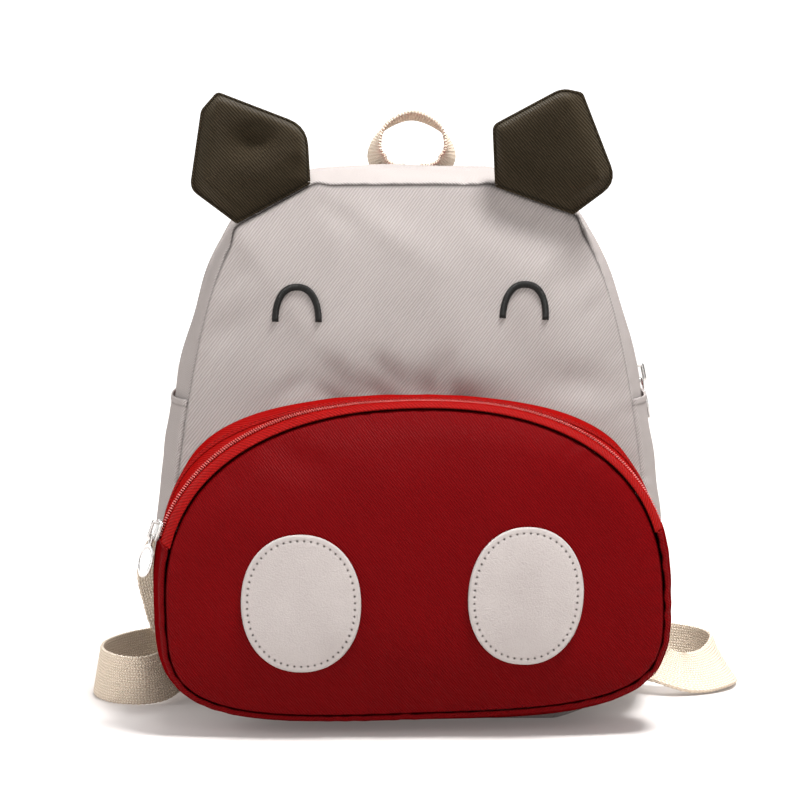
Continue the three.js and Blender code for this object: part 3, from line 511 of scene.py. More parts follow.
def face_y(flats):
    out = share_out(seam, FACE_CENTRE, flats)
    dents = fold_depth(FACE_FOLDS + FACE_PUCKERS, flats) + uneven("face", flats)
    full = dict(FRONT_BULGE, power=FACE_FULLNESS)
    return FRONT_SEAM_Y - WALL - crown(full, out) + dents * (1 - out**FOLD_FADE)


def back_y(flats):
    out = share_out(seam, FACE_CENTRE, flats)
    return BACK_SEAM_Y + WALL + crown(BACK_BULGE, out) + uneven("back", flats) * (1 - out**FOLD_FADE)


def pocket_y(flats):
    out = share_out(pocket_seam, POCKET_CENTRE, flats)
    dents = fold_depth(POCKET_FOLDS, flats) + uneven("pocket", flats)
    return POCKET_SEAM_Y - WALL - crown(POCKET_BULGE, out) + dents * (1 - out**FOLD_FADE)


def round_out(share, power=GUSSET_ROUNDNESS):
    return 1 - np.abs(2 * share - 1) ** power


def gusset_place(shares, y, lift):
    """Point of the main gusset at a share of its length, lifted from the cloth line."""
    shares, y, lift = np.broadcast_arrays(shares, y, lift)
    out = round_out((y - FRONT_SEAM_Y) / BODY_DEPTH)[..., None]
    near = at(seam, shares) + at(seam_out, shares) * lift[..., None]
    far = at(crest, shares) + at(crest_out, shares) * lift[..., None]
    return standing(near * (1 - out) + far * out, y)


def pocket_place(shares, across, lift):
    """Point of the front pocket's gusset, from the seam of its front (0) to the face (1)."""
    shares, across, lift = np.broadcast_arrays(shares, across, lift)
    edge = at(pocket_seam, shares) + at(pocket_seam_out, shares) * lift[..., None]
    foot = at(pocket_foot, shares) + at(pocket_foot_out, shares) * lift[..., None]
    along = unit(at(pocket_seam, shares + 1 / DENSE) - at(pocket_seam, shares - 1 / DENSE))
    low = at(pocket_seam, shares)[..., 1] <= POCKET_SEAM["z"]
    power = np.where(low, POCKET_SIDE_BULGE["lower_power"], POCKET_SIDE_BULGE["upper_power"])
    inside = np.clip(across, 0, 1)
    swell = POCKET_SIDE_BULGE["depth"] * np.abs(along[..., 1]) ** power * round_out(inside)
    for bulge, here in ((POCKET_BASE_BULGE, low), (POCKET_ARCH_BULGE, ~low)):
        part = bulge["depth"] * along[..., 0] ** bulge["power"] * round_out(inside, bulge["roundness"])
        swell = swell + np.where(here, part, 0)
    y = (POCKET_SEAM_Y + GAP) * (1 - across) + (face_y(foot) - GAP) * across
    flat = edge * (1 - across[..., None]) + foot * across[..., None]
    out = np.stack([along[..., 1], -along[..., 0]], axis=-1)
    return standing(flat + out * swell[..., None], y)


def pocket_depth(shares):
    return np.linalg.norm(pocket_place(shares, 1.0, 0.0) - pocket_place(shares, 0.0, 0.0), axis=-1)


def pocket_at(shares, distance, lift):
    """Point of the front pocket's gusset at a distance from the seam of its front."""
    return pocket_place(shares, distance / pocket_depth(shares), lift)


# Materials


def linear(colour):
    """Colour for a shader from the three 8-bit numbers of a screen colour."""
    parts = np.array(colour) / 255
    return (*np.where(parts <= 0.04045, parts / 12.92, ((parts + 0.055) / 1.055) ** 2.4), 1.0)


class Look:
    """A material whose nodes are added one at a time."""

    def __init__(self, name, **shader):
        self.material = bpy.data.materials.new(name)
        self.material.use_nodes = True
        self.tree = self.material.node_tree
        self.shader = self.tree.nodes["Principled BSDF"]
        for socket, value in shader.items():
            self.shader.inputs[socket.replace("_", " ").title().replace("Ior", "IOR")].default_value = value

    def add(self, kind, **settings):
        node = self.tree.nodes.new(kind)
        for key, value in settings.items():
            setattr(node, key, value)
        return node

    def feed(self, socket, value):
        if isinstance(value, bpy.types.NodeSocket):
            self.tree.links.new(value, socket)
        else:
            socket.default_value = value

    def math(self, operation, *values):
        node = self.add("ShaderNodeMath", operation=operation)
        for socket, value in zip(node.inputs, values):
            self.feed(socket, value)
        return node.outputs[0]

    def mix(self, factor, first, second, blend="MIX"):
        node = self.add("ShaderNodeMix", data_type="RGBA", blend_type=blend)
        for index, value in ((0, factor), (6, first), (7, second)):
            self.feed(node.inputs[index], value)
        return node.outputs[2]

    def attribute(self, name, output="Vector"):
        return self.add("ShaderNodeAttribute", attribute_name=name).outputs[output]

    def noise(self, place, scale, detail=2.0):
        node = self.add("ShaderNodeTexNoise")
        self.feed(node.inputs["Vector"], place)
        self.feed(node.inputs["Scale"], scale)
        self.feed(node.inputs["Detail"], detail)
        return node.outputs[0]

    def wave(self, place, angle, pitch, shift=0.0):
        """Even ridges between 0 and 1, at an angle in degrees and a pitch in millimetres."""
        turn = math.radians(angle)
        node = self.add("ShaderNodeVectorMath", operation="DOT_PRODUCT")
        self.feed(node.inputs[0], place)
        rate = TURN / (pitch * MM)
        self.feed(node.inputs[1], (math.cos(turn) * rate, math.sin(turn) * rate, 0))
        phase = self.math("ADD", node.outputs[1], shift)
        return self.math("MULTIPLY_ADD", self.math("SINE", phase), 0.5, 0.5)

    def bump(self, height, depth):
        node = self.add("ShaderNodeBump")
        self.feed(node.inputs["Height"], height)
        self.feed(node.inputs["Distance"], depth * MM)
        self.feed(self.shader.inputs["Normal"], node.outputs[0])

    def finish(self, colour, pattern, row, height, depth):
        """Colour, roughness that changes over a pattern, and bump. Gives the finished material."""
        self.feed(self.shader.inputs["Base Color"], colour)
        rough = self.math("MULTIPLY_ADD", pattern, row["change"], row["rough"])
        self.feed(self.shader.inputs["Roughness"], rough)
        self.bump(height, depth)
        return self.material

    def gloss(self, level, fade):
        """Specular level, which may fade where the cloth turns away and its ribs hide each other."""
        if fade:
            facing = self.add("ShaderNodeLayerWeight").outputs["Facing"]
            ramp = self.add("ShaderNodeMapRange", interpolation_type="SMOOTHSTEP")
            for index, value in enumerate((facing, *GLOSS_FADE, level, 0.0)):
                self.feed(ramp.inputs[index], value)
            level = ramp.outputs[0]
        self.feed(self.shader.inputs["Specular IOR Level"], level)


def twill_look(name, dark, light, painted_seam_shade, angle, pitch, depth, gloss, rough, fade, sheen):
    """Woven twill: slanting ribs of short threads, a little uneven, with painted shade down in the seams."""
    look = Look(name, sheen_weight=sheen, **SHEEN)
    ribs, tone = TWILL_RIBS, TWILL_TONE
    place = look.attribute("weave")
    drift = look.math("MULTIPLY", look.noise(place, ribs["drift_scale"]), ribs["drift"])
    rib = look.wave(place, angle, pitch, drift)
    thread = look.wave(place, angle + ribs["thread_turn"], pitch * ribs["thread_pitch"], drift)
    height = look.math("MULTIPLY_ADD", thread, ribs["thread_height"], rib)
    cloud = look.math("MULTIPLY", look.noise(place, tone["cloud_scale"], 3.0), tone["cloud"])
    shade = look.math("MULTIPLY_ADD", height, tone["contrast"], cloud)
    colour = look.mix(shade, linear(dark), linear(light))
    # Painted seam shade: the colour turns dark where the seam attribute is high
    colour = look.mix(look.attribute("seam", "Fac"), colour, linear(painted_seam_shade))
    look.gloss(gloss, fade)
    return look.finish(colour, rib, dict(rough=rough, change=ribs["polish"]), height, depth)


def thread_look():
    """Satin stitch: fine strands side by side."""
    look = Look("black_thread", specular_ior_level=0.2)
    place = look.attribute("weave")
    drift = look.math("MULTIPLY", look.noise(place, THREAD["drift_scale"]), THREAD["drift"])
    strand = look.wave(place, 0, THREAD["pitch"], drift)
    colour = look.mix(strand, linear(THREAD["dark"]), linear(THREAD["light"]))
    return look.finish(colour, strand, THREAD, strand, BUMPS["thread"])


def leatherette_look():
    """Fine pebbled grain with a soft cloud of tone, and painted shade in its stitch holes."""
    look = Look("leatherette", specular_ior_level=0.15)
    place = look.attribute("weave")
    cells = look.add("ShaderNodeTexVoronoi")
    look.feed(cells.inputs["Vector"], place)
    look.feed(cells.inputs["Scale"], LEATHER_GRAIN["cells"])
    fine = look.math("MULTIPLY", look.noise(place, LEATHER_GRAIN["fine"]), LEATHER_GRAIN["fine_height"])
    grain = look.math("ADD", cells.outputs["Distance"], fine)
    cloud = look.noise(place, LEATHER_GRAIN["cloud"], 3.0)
    colour = look.mix(cloud, linear(LEATHER["dark"]), linear(LEATHER["light"]))
    colour = look.mix(look.math("MULTIPLY", grain, LEATHER_GRAIN["pores"]), colour, linear(LEATHER["pore"]))
    # Painted shade in the stitch holes
    colour = look.mix(look.attribute("seam", "Fac"), colour, linear(LEATHER["stitch"]))
    return look.finish(colour, grain, LEATHER_GRAIN, grain, BUMPS["leather"])


def webbing_look():
    """Cotton webbing: rows of plump stitches that lean left and right in turn."""
    look = Look("cotton_webbing", specular_ior_level=0.1)
    weave = COTTON_WEAVE
    place = look.attribute("weave")
    lean = look.math("MULTIPLY", look.wave(place, 0, weave["column"]), weave["lean"])
    stitch = look.math("POWER", look.wave(place, 90, weave["stitch"], lean), weave["stitch_power"])
    cell = look.math("POWER", look.wave(place, 0, weave["cell"]), weave["cell_power"])
    height = look.math("MULTIPLY", stitch, cell)
    fuzz = look.noise(place, weave["fuzz"], 3.0)
    shade = look.math("MULTIPLY_ADD", height, COTTON["contrast"], look.math("MULTIPLY", fuzz, COTTON["fuzz"]))
    colour = look.mix(shade, linear(COTTON["dark"]), linear(COTTON["light"]))
    fuzzy = look.math("MULTIPLY_ADD", fuzz, BUMPS["fuzz"], height)
    return look.finish(colour, fuzz, COTTON, fuzzy, BUMPS["cotton"])


def coil_look():
    look = Look("zip_coil", specular_ior_level=0.6)
    strand = look.noise(look.attribute("weave"), COIL_LOOK["scale"])
    # Patches of light pink on the red coil are painted highlight
    colour = look.mix(strand, linear(COIL_LOOK["dark"]), linear(COIL_LOOK["light"]))
    return look.finish(colour, strand, COIL_LOOK, strand, BUMPS["coil"])


def metal_look():
    look = Look("slider_metal", metallic=1.0)
    place = look.add("ShaderNodeTexCoord").outputs["Object"]
    wear = look.noise(place, METAL["scale"], 4.0)
    colour = look.mix(wear, linear(METAL["dark"]), linear(METAL["light"]))
    return look.finish(colour, wear, METAL, look.noise(place, METAL["fine"]), BUMPS["metal"])


LOOKS = {name: twill_look(name, **row) for name, row in TWILLS.items()}
LOOKS.update(
    black_thread=thread_look(), zip_red=coil_look(), leatherette=leatherette_look(),
    cotton_webbing=webbing_look(), slider_metal=metal_look(),
)

# Meshes


def wrapped_quads(index, closed):
    """Faces between the rows of a grid of point numbers whose columns run round in a ring."""
    here = index if closed else index[:-1]
    after = np.roll(index, -1, axis=0) if closed else index[1:]
    quads = np.stack([here, after, np.roll(after, -1, axis=1), np.roll(here, -1, axis=1)], axis=-1)
    return quads.reshape(-1, 4)


def shell(outer, inner, closed):
    """Points and faces of a closed shell from its two grids of stations and rows."""
    loops = np.concatenate([outer, inner[:, ::-1]], axis=1)
    stations, size = loops.shape[:2]
    index = np.arange(stations * size).reshape(stations, size)
    quads = wrapped_quads(index, closed)
    if not closed:
        k = np.arange(size // 2 - 1)
        for row in (index[0], index[-1]):
            cap = np.stack([row[k], row[k + 1], row[size - 2 - k], row[size - 1 - k]], axis=-1)
            quads = np.concatenate([quads, cap])
    return loops.reshape(-1, 3), quads


def both_faces(values):
    """Values of a grid for the points of its shell."""
    doubled = np.concatenate([values, values[:, ::-1]], axis=1)
    return doubled.reshape(-1, *values.shape[2:])


def link_new(name, data):
    thing = bpy.data.objects.new(name, data)
    bpy.context.scene.collection.objects.link(thing)
    return thing


def add_piece(name, points, faces, slot, weave=None, shade=None, replaces=(), body="bag", merge=True):
    """Piece of the bag. Weave is where its cloth lies flat, and shade is how much painted shade it gets in a
    seam.
    """
    mesh = bpy.data.meshes.new(name)
    mesh.from_pydata((np.asarray(points) * MM).tolist(), [], [list(map(int, face)) for face in faces])
    if weave is not None:
        lay = np.zeros((len(points), 3))
        lay[:, :2] = weave * MM
        mesh.attributes.new("weave", "FLOAT_VECTOR", "POINT").data.foreach_set("vector", lay.ravel())
        # The seam attribute holds painted shade for seams, grooves and stitch holes
        depth = np.zeros(len(points)) if shade is None else np.clip(shade, 0, 1)
        mesh.attributes.new("seam", "FLOAT", "POINT").data.foreach_set("value", depth)
    work = bmesh.new()
    work.from_mesh(mesh)
    if merge:
        bmesh.ops.remove_doubles(work, verts=work.verts, dist=SAME_POINT)
    bmesh.ops.recalc_face_normals(work, faces=work.faces)
    work.to_mesh(mesh)
    work.free()
    mesh.validate()
    mesh.shade_smooth()
    mesh.materials.append(LOOKS[slot])
    piece = link_new(name, mesh)
    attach(piece, body)
    if replaces:
        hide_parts(*replaces)
    return piece


def grains(centres, axes, size):
    """Small rounded grains at centres. Each has an along, an across and an up direction."""
    steps = np.linspace(-1, 1, 3)
    corners, faces = [], []
    for axis in range(3):
        for side in (-1, 1):
            start = len(corners)
            for a in steps:
                for b in steps:
                    corner = np.insert(np.array([a, b]), axis, side)
                    corners.append(corner / np.linalg.norm(corner))
            for row in (0, 1):
                for column in (0, 1):
                    first = start + 3 * row + column
                    faces.append([first, first + 1, first + 4, first + 3])
    local = np.array(corners) * size
    points = centres[:, None] + np.einsum("tk,nkd->ntd", local, axes)
    shift = (np.arange(len(centres)) * len(corners))[:, None, None]
    return points.reshape(-1, 3), (np.array(faces)[None] + shift).reshape(-1, 4)


def tube(path, wide, high, up, closed):
    """Rounded wire along a path: half sizes along the width and along up."""
    if closed:
        along = unit(np.roll(path, -1, axis=0) - np.roll(path, 1, axis=0))
    else:
        along = unit(np.gradient(path, axis=0))
    width = unit(np.cross(along, up))
    normal = np.cross(width, along)
    turn = np.arange(WIRE_SIDES) / WIRE_SIDES * TURN
    sideways = width[:, None] * (wide * np.cos(turn))[None, :, None]
    ring = path[:, None] + sideways + normal[:, None] * (high * np.sin(turn))[None, :, None]
    index = np.arange(len(path) * WIRE_SIDES).reshape(len(path), WIRE_SIDES)
    faces = wrapped_quads(index, closed).tolist()
    if not closed:
        faces += [index[0].tolist(), index[-1].tolist()]
    return ring.reshape(-1, 3), faces


def join_parts(parts):
    points, faces, total = [], [], 0
    for part_points, part_faces in parts:
        points.append(part_points)
        faces += [[total + i for i in face] for face in part_faces]
        total += len(part_points)
    return np.concatenate(points), faces


def frames_on(place, first, second, lift):
    """Centres on a surface, with directions along its first and second coordinate and out of it."""
    step = 1e-4
    along = unit(place(first + step, second, lift) - place(first - step, second, lift))
    across = unit(place(first, second + step, lift) - place(first, second - step, lift))
    up = unit(np.cross(along, across))
    return place(first, second, lift), np.stack([along, np.cross(up, along), up], axis=1)


def roll_in(radius, steps=7):
    """Edge of a cloth that rolls over towards its inside: distances from the edge, and lifts."""
    turn = np.linspace(math.pi, 0, steps)
    return np.stack([radius - radius * np.sin(turn), radius * np.cos(turn) - radius], axis=1)


def thick(section, thickness):
    """The inner line of a section of distances and lifts."""
    along = unit(np.gradient(section, axis=0))
    normal = np.stack([-along[:, 1], along[:, 0]], axis=1)
    return section - normal * thickness


def gathers(length, distance, seed):
    """Small gathers that fade away from a seam: along the seam and away from it, in millimetres."""
    wide = np.stack([length, np.zeros_like(length)], axis=-1)
    patches = GATHER["even"] + GATHER["change"] * ripple(wide, GATHER["patch"], seed + 1)
    folds = ripple(wide, GATHER["pitch"], seed) * patches
    return GATHER["height"] * folds * np.exp(-distance / GATHER["reach"])


# Panels


def ring_places(coarse, fine, edge):
    """Rings from a panel's middle to its seam, closer together beyond an edge share."""
    return np.concatenate([np.linspace(0, edge, coarse, endpoint=False), np.linspace(edge, 1, fine)])


def edge_values(rim, table):
    """Values of a panel's rolled edge along its rim."""
    high = smooth(rim[:, 1], *table["heights"])[:, None]
    return {key: low + more * high for key, (low, more) in table.items() if key != "heights"}


def add_panel(name, size, rim, centre, height_at, edge_table, slot, seed, out_sign):
    """A crowned cloth panel whose edge rolls back into its seam."""
    shares = np.arange(STATIONS[size]) / STATIONS[size]
    rings = ring_places(*RINGS[size])
    roll = edge_values(at(rim, shares), edge_table)
    edge = at(rim, shares) - at(outwards(rim), shares) * roll["inset"]
    reach = np.linalg.norm(edge - centre, axis=1)
    flats = centre + (edge - centre)[:, None] * rings[None, :, None]
    distance = (1 - rings)[None] * reach[:, None]
    radius = roll["radius"]
    back = radius - np.sqrt(radius**2 - np.clip(radius - distance, 0, radius) ** 2)
    back = back + roll["ease"] * np.clip(1 - distance / roll["reach"], 0, 1) ** 2
    length = shares[:, None] * outline_length(rim) + 0 * distance
    y = height_at(flats) - out_sign * back + out_sign * gathers(length, distance, seed)
    outer = standing(flats, y)
    inner = outer - np.array([0, out_sign * CLOTH, 0])
    points, faces = shell(outer, inner, closed=True)
    # Painted shade where the panel's edge rolls back into its seam
    shade = roll["dark"] * hump(distance, SEAM_SHADE * roll["shade"])
    piece = add_piece(name, points, faces, slot, both_faces(flats), both_faces(shade), [name])


add_panel("front_panel", "face", seam, FACE_CENTRE, face_y, FACE_EDGE, "grey_twill", 11, -1)
add_panel("back_panel", "back", seam, FACE_CENTRE, back_y, FACE_EDGE, "grey_twill", 13, 1)
add_panel(
    "pocket_front", "pocket", pocket_seam, POCKET_CENTRE, pocket_y, POCKET_EDGE, "dark_red_twill", 17, -1,
)

# Strips of the gussets


def add_strip(name, place, shares, section, length, slot, replaces, extra=None, shade=None):
    """Strip of cloth through shares. Section rows are a place across and a lift for each station."""
    section = np.broadcast_to(section, (len(shares), *section.shape[-2:])).copy()
    inner = np.stack([thick(rows, CLOTH) for rows in section])
    if extra is not None:
        section[..., 1] += extra
        inner[..., 1] += extra
    outer_points = place(shares[:, None], section[..., 0], section[..., 1])
    inner_points = place(shares[:, None], inner[..., 0], inner[..., 1])
    points, faces = shell(outer_points, inner_points, closed=False)
    steps = np.linalg.norm(np.diff(outer_points, axis=1), axis=-1)
    run = np.concatenate([np.zeros((len(shares), 1)), np.cumsum(steps, axis=1)], axis=1)
    weave = np.stack([(shares * length)[:, None] + 0 * run, run], axis=-1)
    shade = None if shade is None else both_faces(np.broadcast_to(shade, run.shape))
    piece = add_piece(name, points, faces, slot, both_faces(weave), shade, replaces)


strip_end = share_at_height(seam, STRIP_END_Z)
hem_share = share_at_height(seam, SLIP_POCKET["hem"])
slip_foot = share_at_height(seam, SLIP_POCKET["foot"])
zip_front = MAIN_ZIP["y"] - MAIN_ZIP["width"] / 2
zip_back = MAIN_ZIP["y"] + MAIN_ZIP["width"] / 2


def gusset_section(start, end, start_roll, end_roll, rows):
    """Section of the main gusset between two depths, with its edges rolled in."""
    first = roll_in(start_roll)
    last = roll_in(end_roll)[::-1]
    middle = np.linspace(start + start_roll, end - end_roll, rows)[1:-1]
    flat = np.stack([middle, np.zeros_like(middle)], axis=1)
    first = np.stack([start + first[:, 0], first[:, 1]], axis=1)
    last = np.stack([end - last[:, 0], last[:, 1]], axis=1)
    return np.concatenate([first, flat, last])


def gusset_unevenness(shares, section, seed):
    """Gathers along both seams, and a soft unevenness that keeps the base flat."""
    length = (shares * SEAM_LENGTH)[:, None] + 0 * section[None, :, 0]
    depth = np.broadcast_to(section[None, :, 0], length.shape)
    front = gathers(length, np.abs(depth - FRONT_SEAM_Y), seed)
    back = gathers(length, np.abs(depth - BACK_SEAM_Y), seed + 2)
    places = np.stack([length, depth], axis=-1)
    soft = GUSSET_SOFT["height"] * ripple(places, GUSSET_SOFT["scale"], seed + 4)
    inside = round_out((depth - FRONT_SEAM_Y) / BODY_DEPTH)
    high = smooth(at(seam, np.mod(shares, 1))[:, 1], *BASE_FLAT)[:, None]
    return (front + back + soft * inside) * high


def add_main_gusset():
    arch = np.linspace(strip_end, 1 - strip_end, STATIONS["arch"])
    low = np.linspace(1 - strip_end, 1 + strip_end, STATIONS["base"])
    fold, fold_roll = ZIP_FOLD["turn"], ZIP_FOLD["roll"]
    front, back = FRONT_SEAM_Y + GAP, BACK_SEAM_Y - GAP
    fore = gusset_section(front, zip_front + fold, EDGE_ROLL, fold_roll, ROWS["strip"])
    aft = gusset_section(zip_back - fold, back, fold_roll, EDGE_ROLL, ROWS["strip"])
    base = gusset_section(front, back, EDGE_ROLL, EDGE_ROLL, ROWS["base"])
    rows = [
        ("gusset_front_strip", arch, fore, 21),
        ("gusset_back_strip", arch, aft, 23),
        ("lower_gusset", low, base, 25),
    ]
    for name, shares, section, seed in rows:
        beside = np.minimum(np.abs(section[:, 0] - zip_front), np.abs(section[:, 0] - zip_back))
        lip = ZIP_LIP["rise"] * hump(beside, ZIP_LIP["reach"]) * (name != "lower_gusset")
        extra = gusset_unevenness(shares, section, seed) + lip
        near = np.minimum(np.abs(section[:, 0] - FRONT_SEAM_Y), np.abs(section[:, 0] - BACK_SEAM_Y))
        top = smooth(at(seam, np.mod(shares, 1))[:, 1], *FACE_EDGE["heights"])
        # Painted shade on the gusset's edges where they roll into the seams, stronger towards the top
        dark = (GUSSET_SHADE["sides"] + GUSSET_SHADE["top"] * top)[:, None]
        shade = dark * hump(near, SEAM_SHADE) * (section[:, 1] < GUSSET_SHADE["below"])
        add_strip(name, gusset_place, shares, section, SEAM_LENGTH, "grey_twill", [name], extra, shade)
    tape = np.linspace(zip_front + GAP, zip_back - GAP, ROWS["main_tape"])
    section = np.stack([tape, np.full_like(tape, -MAIN_ZIP["sink"])], axis=1)
    add_strip("main_zip_tape", gusset_place, arch, section, SEAM_LENGTH, "bright_red_twill", ["main_zip"])
    add_teeth("main_zip_teeth", gusset_place, arch, MAIN_ZIP["y"], SEAM_LENGTH, ZIP_TEETH_LIFT)


def add_teeth(name, place, shares, across, length, lift):
    """Two rows of coil teeth that mesh along the middle of a zip."""
    count = int(np.ptp(shares) * length / TOOTH["pitch"])
    every = np.linspace(shares[0], shares[-1], count)
    half = (every[1] - every[0]) / 2
    side = TOOTH["length"] * TOOTH["spread"]
    size = np.array([TOOTH["width"] / 2, TOOTH["length"] / 2 * TOOTH["overlap"], TOOTH["rise"]])
    parts = []
    for shift, offset in ((0, -side), (half, side)):
        line = every + shift
        centres, axes = frames_on(place, line, np.full_like(line, across + offset), np.full_like(line, lift))
        parts.append(grains(centres, axes, size))
    points, faces = join_parts(parts)
    add_piece(name, points, faces, "zip_red", points[:, [0, 2]])


def slip_place(shares, y, lift):
    """Point of a slip pocket, whose hem sags between its two seams."""
    shares, y, lift = np.broadcast_arrays(shares, y, lift)
    right = np.minimum(shares, 1 - shares)
    raised = ((right - slip_foot) / (hem_share - slip_foot)) ** 2
    sag = SLIP["sag"] / SEAM_LENGTH * raised * round_out((y - FRONT_SEAM_Y) / BODY_DEPTH)
    moved = np.where(shares < 0.5, shares - sag, shares + sag)
    return gusset_place(moved, y, lift)


def add_slip_pocket(name, shares):
    section = gusset_section(FRONT_SEAM_Y + GAP, BACK_SEAM_Y - GAP, EDGE_ROLL, EDGE_ROLL, ROWS["slip"])
    lift = SLIP["lift"] + SLIP["slack"] * round_out((section[:, 0] - FRONT_SEAM_Y) / BODY_DEPTH)
    section = np.stack([section[:, 0], section[:, 1] + lift], axis=1)
    right = np.minimum(shares, 1 - shares)
    from_hem = (hem_share - right) * SEAM_LENGTH
    hem = HEM["rise"] * (1 - smooth(from_hem, HEM["width"] - HEM["step"], HEM["width"]))
    from_stitch = from_hem - HEM_STITCH["place"]
    groove = -HEM_STITCH["depth"] * hump(from_stitch, HEM_STITCH["width"])
    soft = gusset_unevenness(shares, section, SLIP["seed"]) * smooth(from_hem, 0, SLIP["settle"])[:, None]
    # Painted shade along the hem's stitched groove
    shade = hump(from_stitch, HEM_STITCH["dark_width"]) * HEM_STITCH["dark"]
    shade = shade[:, None] + 0 * section[None, :, 0]
    extra = (hem + groove)[:, None] + soft
    add_strip(name, slip_place, shares, section, SEAM_LENGTH, "grey_twill", [name], extra, shade)


def add_pocket_strip(name, shares, section, slot, replaces, extra=None, shade=None):
    add_strip(name, pocket_at, shares, section, POCKET_SEAM_LENGTH, slot, [replaces], extra, shade)


def add_pocket_gusset():
    zip_share = share_at_height(pocket_seam, POCKET_ZIP["end"])
    arch = np.linspace(zip_share, 1 - zip_share, STATIONS["pocket_arch"])
    low = np.linspace(1 - zip_share, 1 + zip_share, STATIONS["pocket_base"])
    add_pocket_facing(arch)
    add_pocket_zip(arch)
    depth = pocket_depth(low)
    bead = np.broadcast_to(roll_in(BEAD["roll"], ROWS["bead"]), (len(low), ROWS["bead"], 2))
    share = np.linspace(0, 1, ROWS["pocket_base"])[1:] ** BEAD["spread"]
    across = BEAD["roll"] + (depth[:, None] - BEAD["roll"]) * share
    section = np.concatenate([bead, np.stack([across, 0 * across], axis=-1)], axis=1)
    proud = BEAD["rise"] * hump(section[..., 0], BEAD["reach"])
    length = low[:, None] * POCKET_SEAM_LENGTH + 0 * proud
    extra = proud + gathers(length, section[..., 0], BEAD["seed"])
    # Painted shade on the inner half of the bead, in the valley beside the pocket's front
    shade = BEAD["dark"] * (section[..., 1] < -BEAD["roll"])
    add_pocket_strip("pocket_gusset", low, section, "dark_red_twill", "pocket_gusset", extra, shade)


def add_pocket_facing(arch):
    """The bright strip along the front of the zip, folded under at the coil."""
    facing = roll_in(FACING_ROLL)
    fold = roll_in(FACING_FOLD)[::-1]
    fold = np.stack([FACING_END - fold[:, 0], fold[:, 1]], axis=1)
    middle = np.linspace(FACING_ROLL, FACING_END - FACING_FOLD, ROWS["facing"])[1:-1]
    swell = FACING_SWELL * np.sin(math.pi * middle / FACING_END)
    section = np.concatenate([facing, np.stack([middle, swell], axis=1), fold])
    # Painted shade on the facing's edge where it rolls under into the seam
    shade = FACING_PAINTED_SHADE * (section[:, 1] < -FACING_ROLL) * (section[:, 0] < FACING_END / 2)
    add_pocket_strip("pocket_zip_facing", arch, section, "bright_red_twill", "pocket_zip_facing", shade=shade)


def add_pocket_zip(arch):
    """Tape, coil, and the binding that is sewn along the face."""
    depth = pocket_depth(arch)[:, None]
    binding = np.maximum(depth - BINDING["width"], BINDING["nearest"])
    across = TAPE["start"] + (binding + TAPE["under"] - TAPE["start"]) * np.linspace(0, 1, ROWS["tape"])
    section = np.stack([across, np.full_like(across, -TAPE["sink"])], axis=-1)
    # Painted shade in the grooves either side of the coil
    beside = np.abs(across - COIL["middle"]) - COIL["groove"]
    shade = COIL["dark"] * hump(beside, COIL["groove_width"])
    add_pocket_strip("pocket_zip_tape", arch, section, "bright_red_twill", "pocket_zip_tape", shade=shade)
    add_teeth("pocket_zip_teeth", pocket_at, arch[2:-2], COIL["middle"], POCKET_SEAM_LENGTH, COIL["lift"])
    across = binding + (depth - binding) * np.linspace(0, 1, ROWS["binding"]) ** BINDING["spread"]
    inside = across - binding
    rise = BINDING["rise"] - BINDING["tuck"] * np.exp(-inside / BINDING["tuck_reach"])
    stitch = hump(inside - BINDING_STITCH["place"], BINDING_STITCH["width"])
    beat = np.sin(arch * POCKET_SEAM_LENGTH * TURN / BINDING_STITCH["pitch"])[:, None]
    section = np.stack([across, rise - BINDING_STITCH["depth"] * stitch], axis=-1)
    # Painted shade in the stitch dents, broken into dashes
    shade = stitch * smooth(beat, *BINDING_STITCH["gaps"]) * BINDING_STITCH["dark"]
    add_pocket_strip("pocket_zip_binding", arch, section, "bright_red_twill", "pocket_zip_chain", shade=shade)


add_main_gusset()
add_slip_pocket("side_pocket_right", np.linspace(slip_foot, hem_share, STATIONS["slip"]))
add_slip_pocket("side_pocket_left", np.linspace(1 - hem_share, 1 - slip_foot, STATIONS["slip"]))
add_pocket_gusset()

# Ears: padded pentagons on the straight stretches of the front seam


def ear_axes(row):
    inner, outer = np.array(row["inner"], float), np.array(row["outer"], float)
    along = unit(outer - inner)
    up = np.array([-along[1], along[0]]) * np.sign(along[0])
    foot = (inner + outer) / 2 + up * (GAP - row["down"])
    return foot, along, up, np.linalg.norm(outer - inner) / 2


def ear_middle(row, rise):
    """Depth of an ear's middle sheet at a height above its base."""
    return EAR_Y - row["forward"] - row["slope"] * rise


def rounded_polygon(corners, radius, steps=6):
    """A polygon with its corners rounded by one radius, or by one for each corner."""
    radii = np.broadcast_to(radius, len(corners))
    points = []
    part = np.linspace(0, 1, steps)[:, None]
    for i, corner in enumerate(corners):
        start = corner + unit(corners[i - 1] - corner) * radii[i]
        end = corner + unit(corners[(i + 1) % len(corners)] - corner) * radii[i]
        points.append(start * (1 - part) ** 2 + corner * 2 * part * (1 - part) + end * part**2)
    return np.concatenate(points)


def disc_grid(count):
    """Rings and shares of a square grid laid over a disc."""
    line = np.linspace(-1, 1, count + 1)
    a, b = np.meshgrid(line, line, indexing="ij")
    wide = np.abs(a) >= np.abs(b)
    ring = np.where(wide, np.abs(a), np.abs(b))
    safe = np.where(ring == 0, 1, np.where(wide, a, b))
    turn = np.where(wide, (math.pi / 4) * (b / safe), math.pi / 2 - (math.pi / 4) * (a / safe))
    turn = turn + np.where(np.where(wide, a, b) < 0, math.pi, 0)
    return ring, np.mod(turn / TURN, 1)


def grid_quads(count, start, flip):
    index = start + np.arange((count + 1) ** 2).reshape(count + 1, count + 1)
    quads = np.stack([index[:-1, :-1], index[1:, :-1], index[1:, 1:], index[:-1, 1:]], axis=-1)
    quads = quads.reshape(-1, 4)
    return quads[:, ::-1] if flip else quads


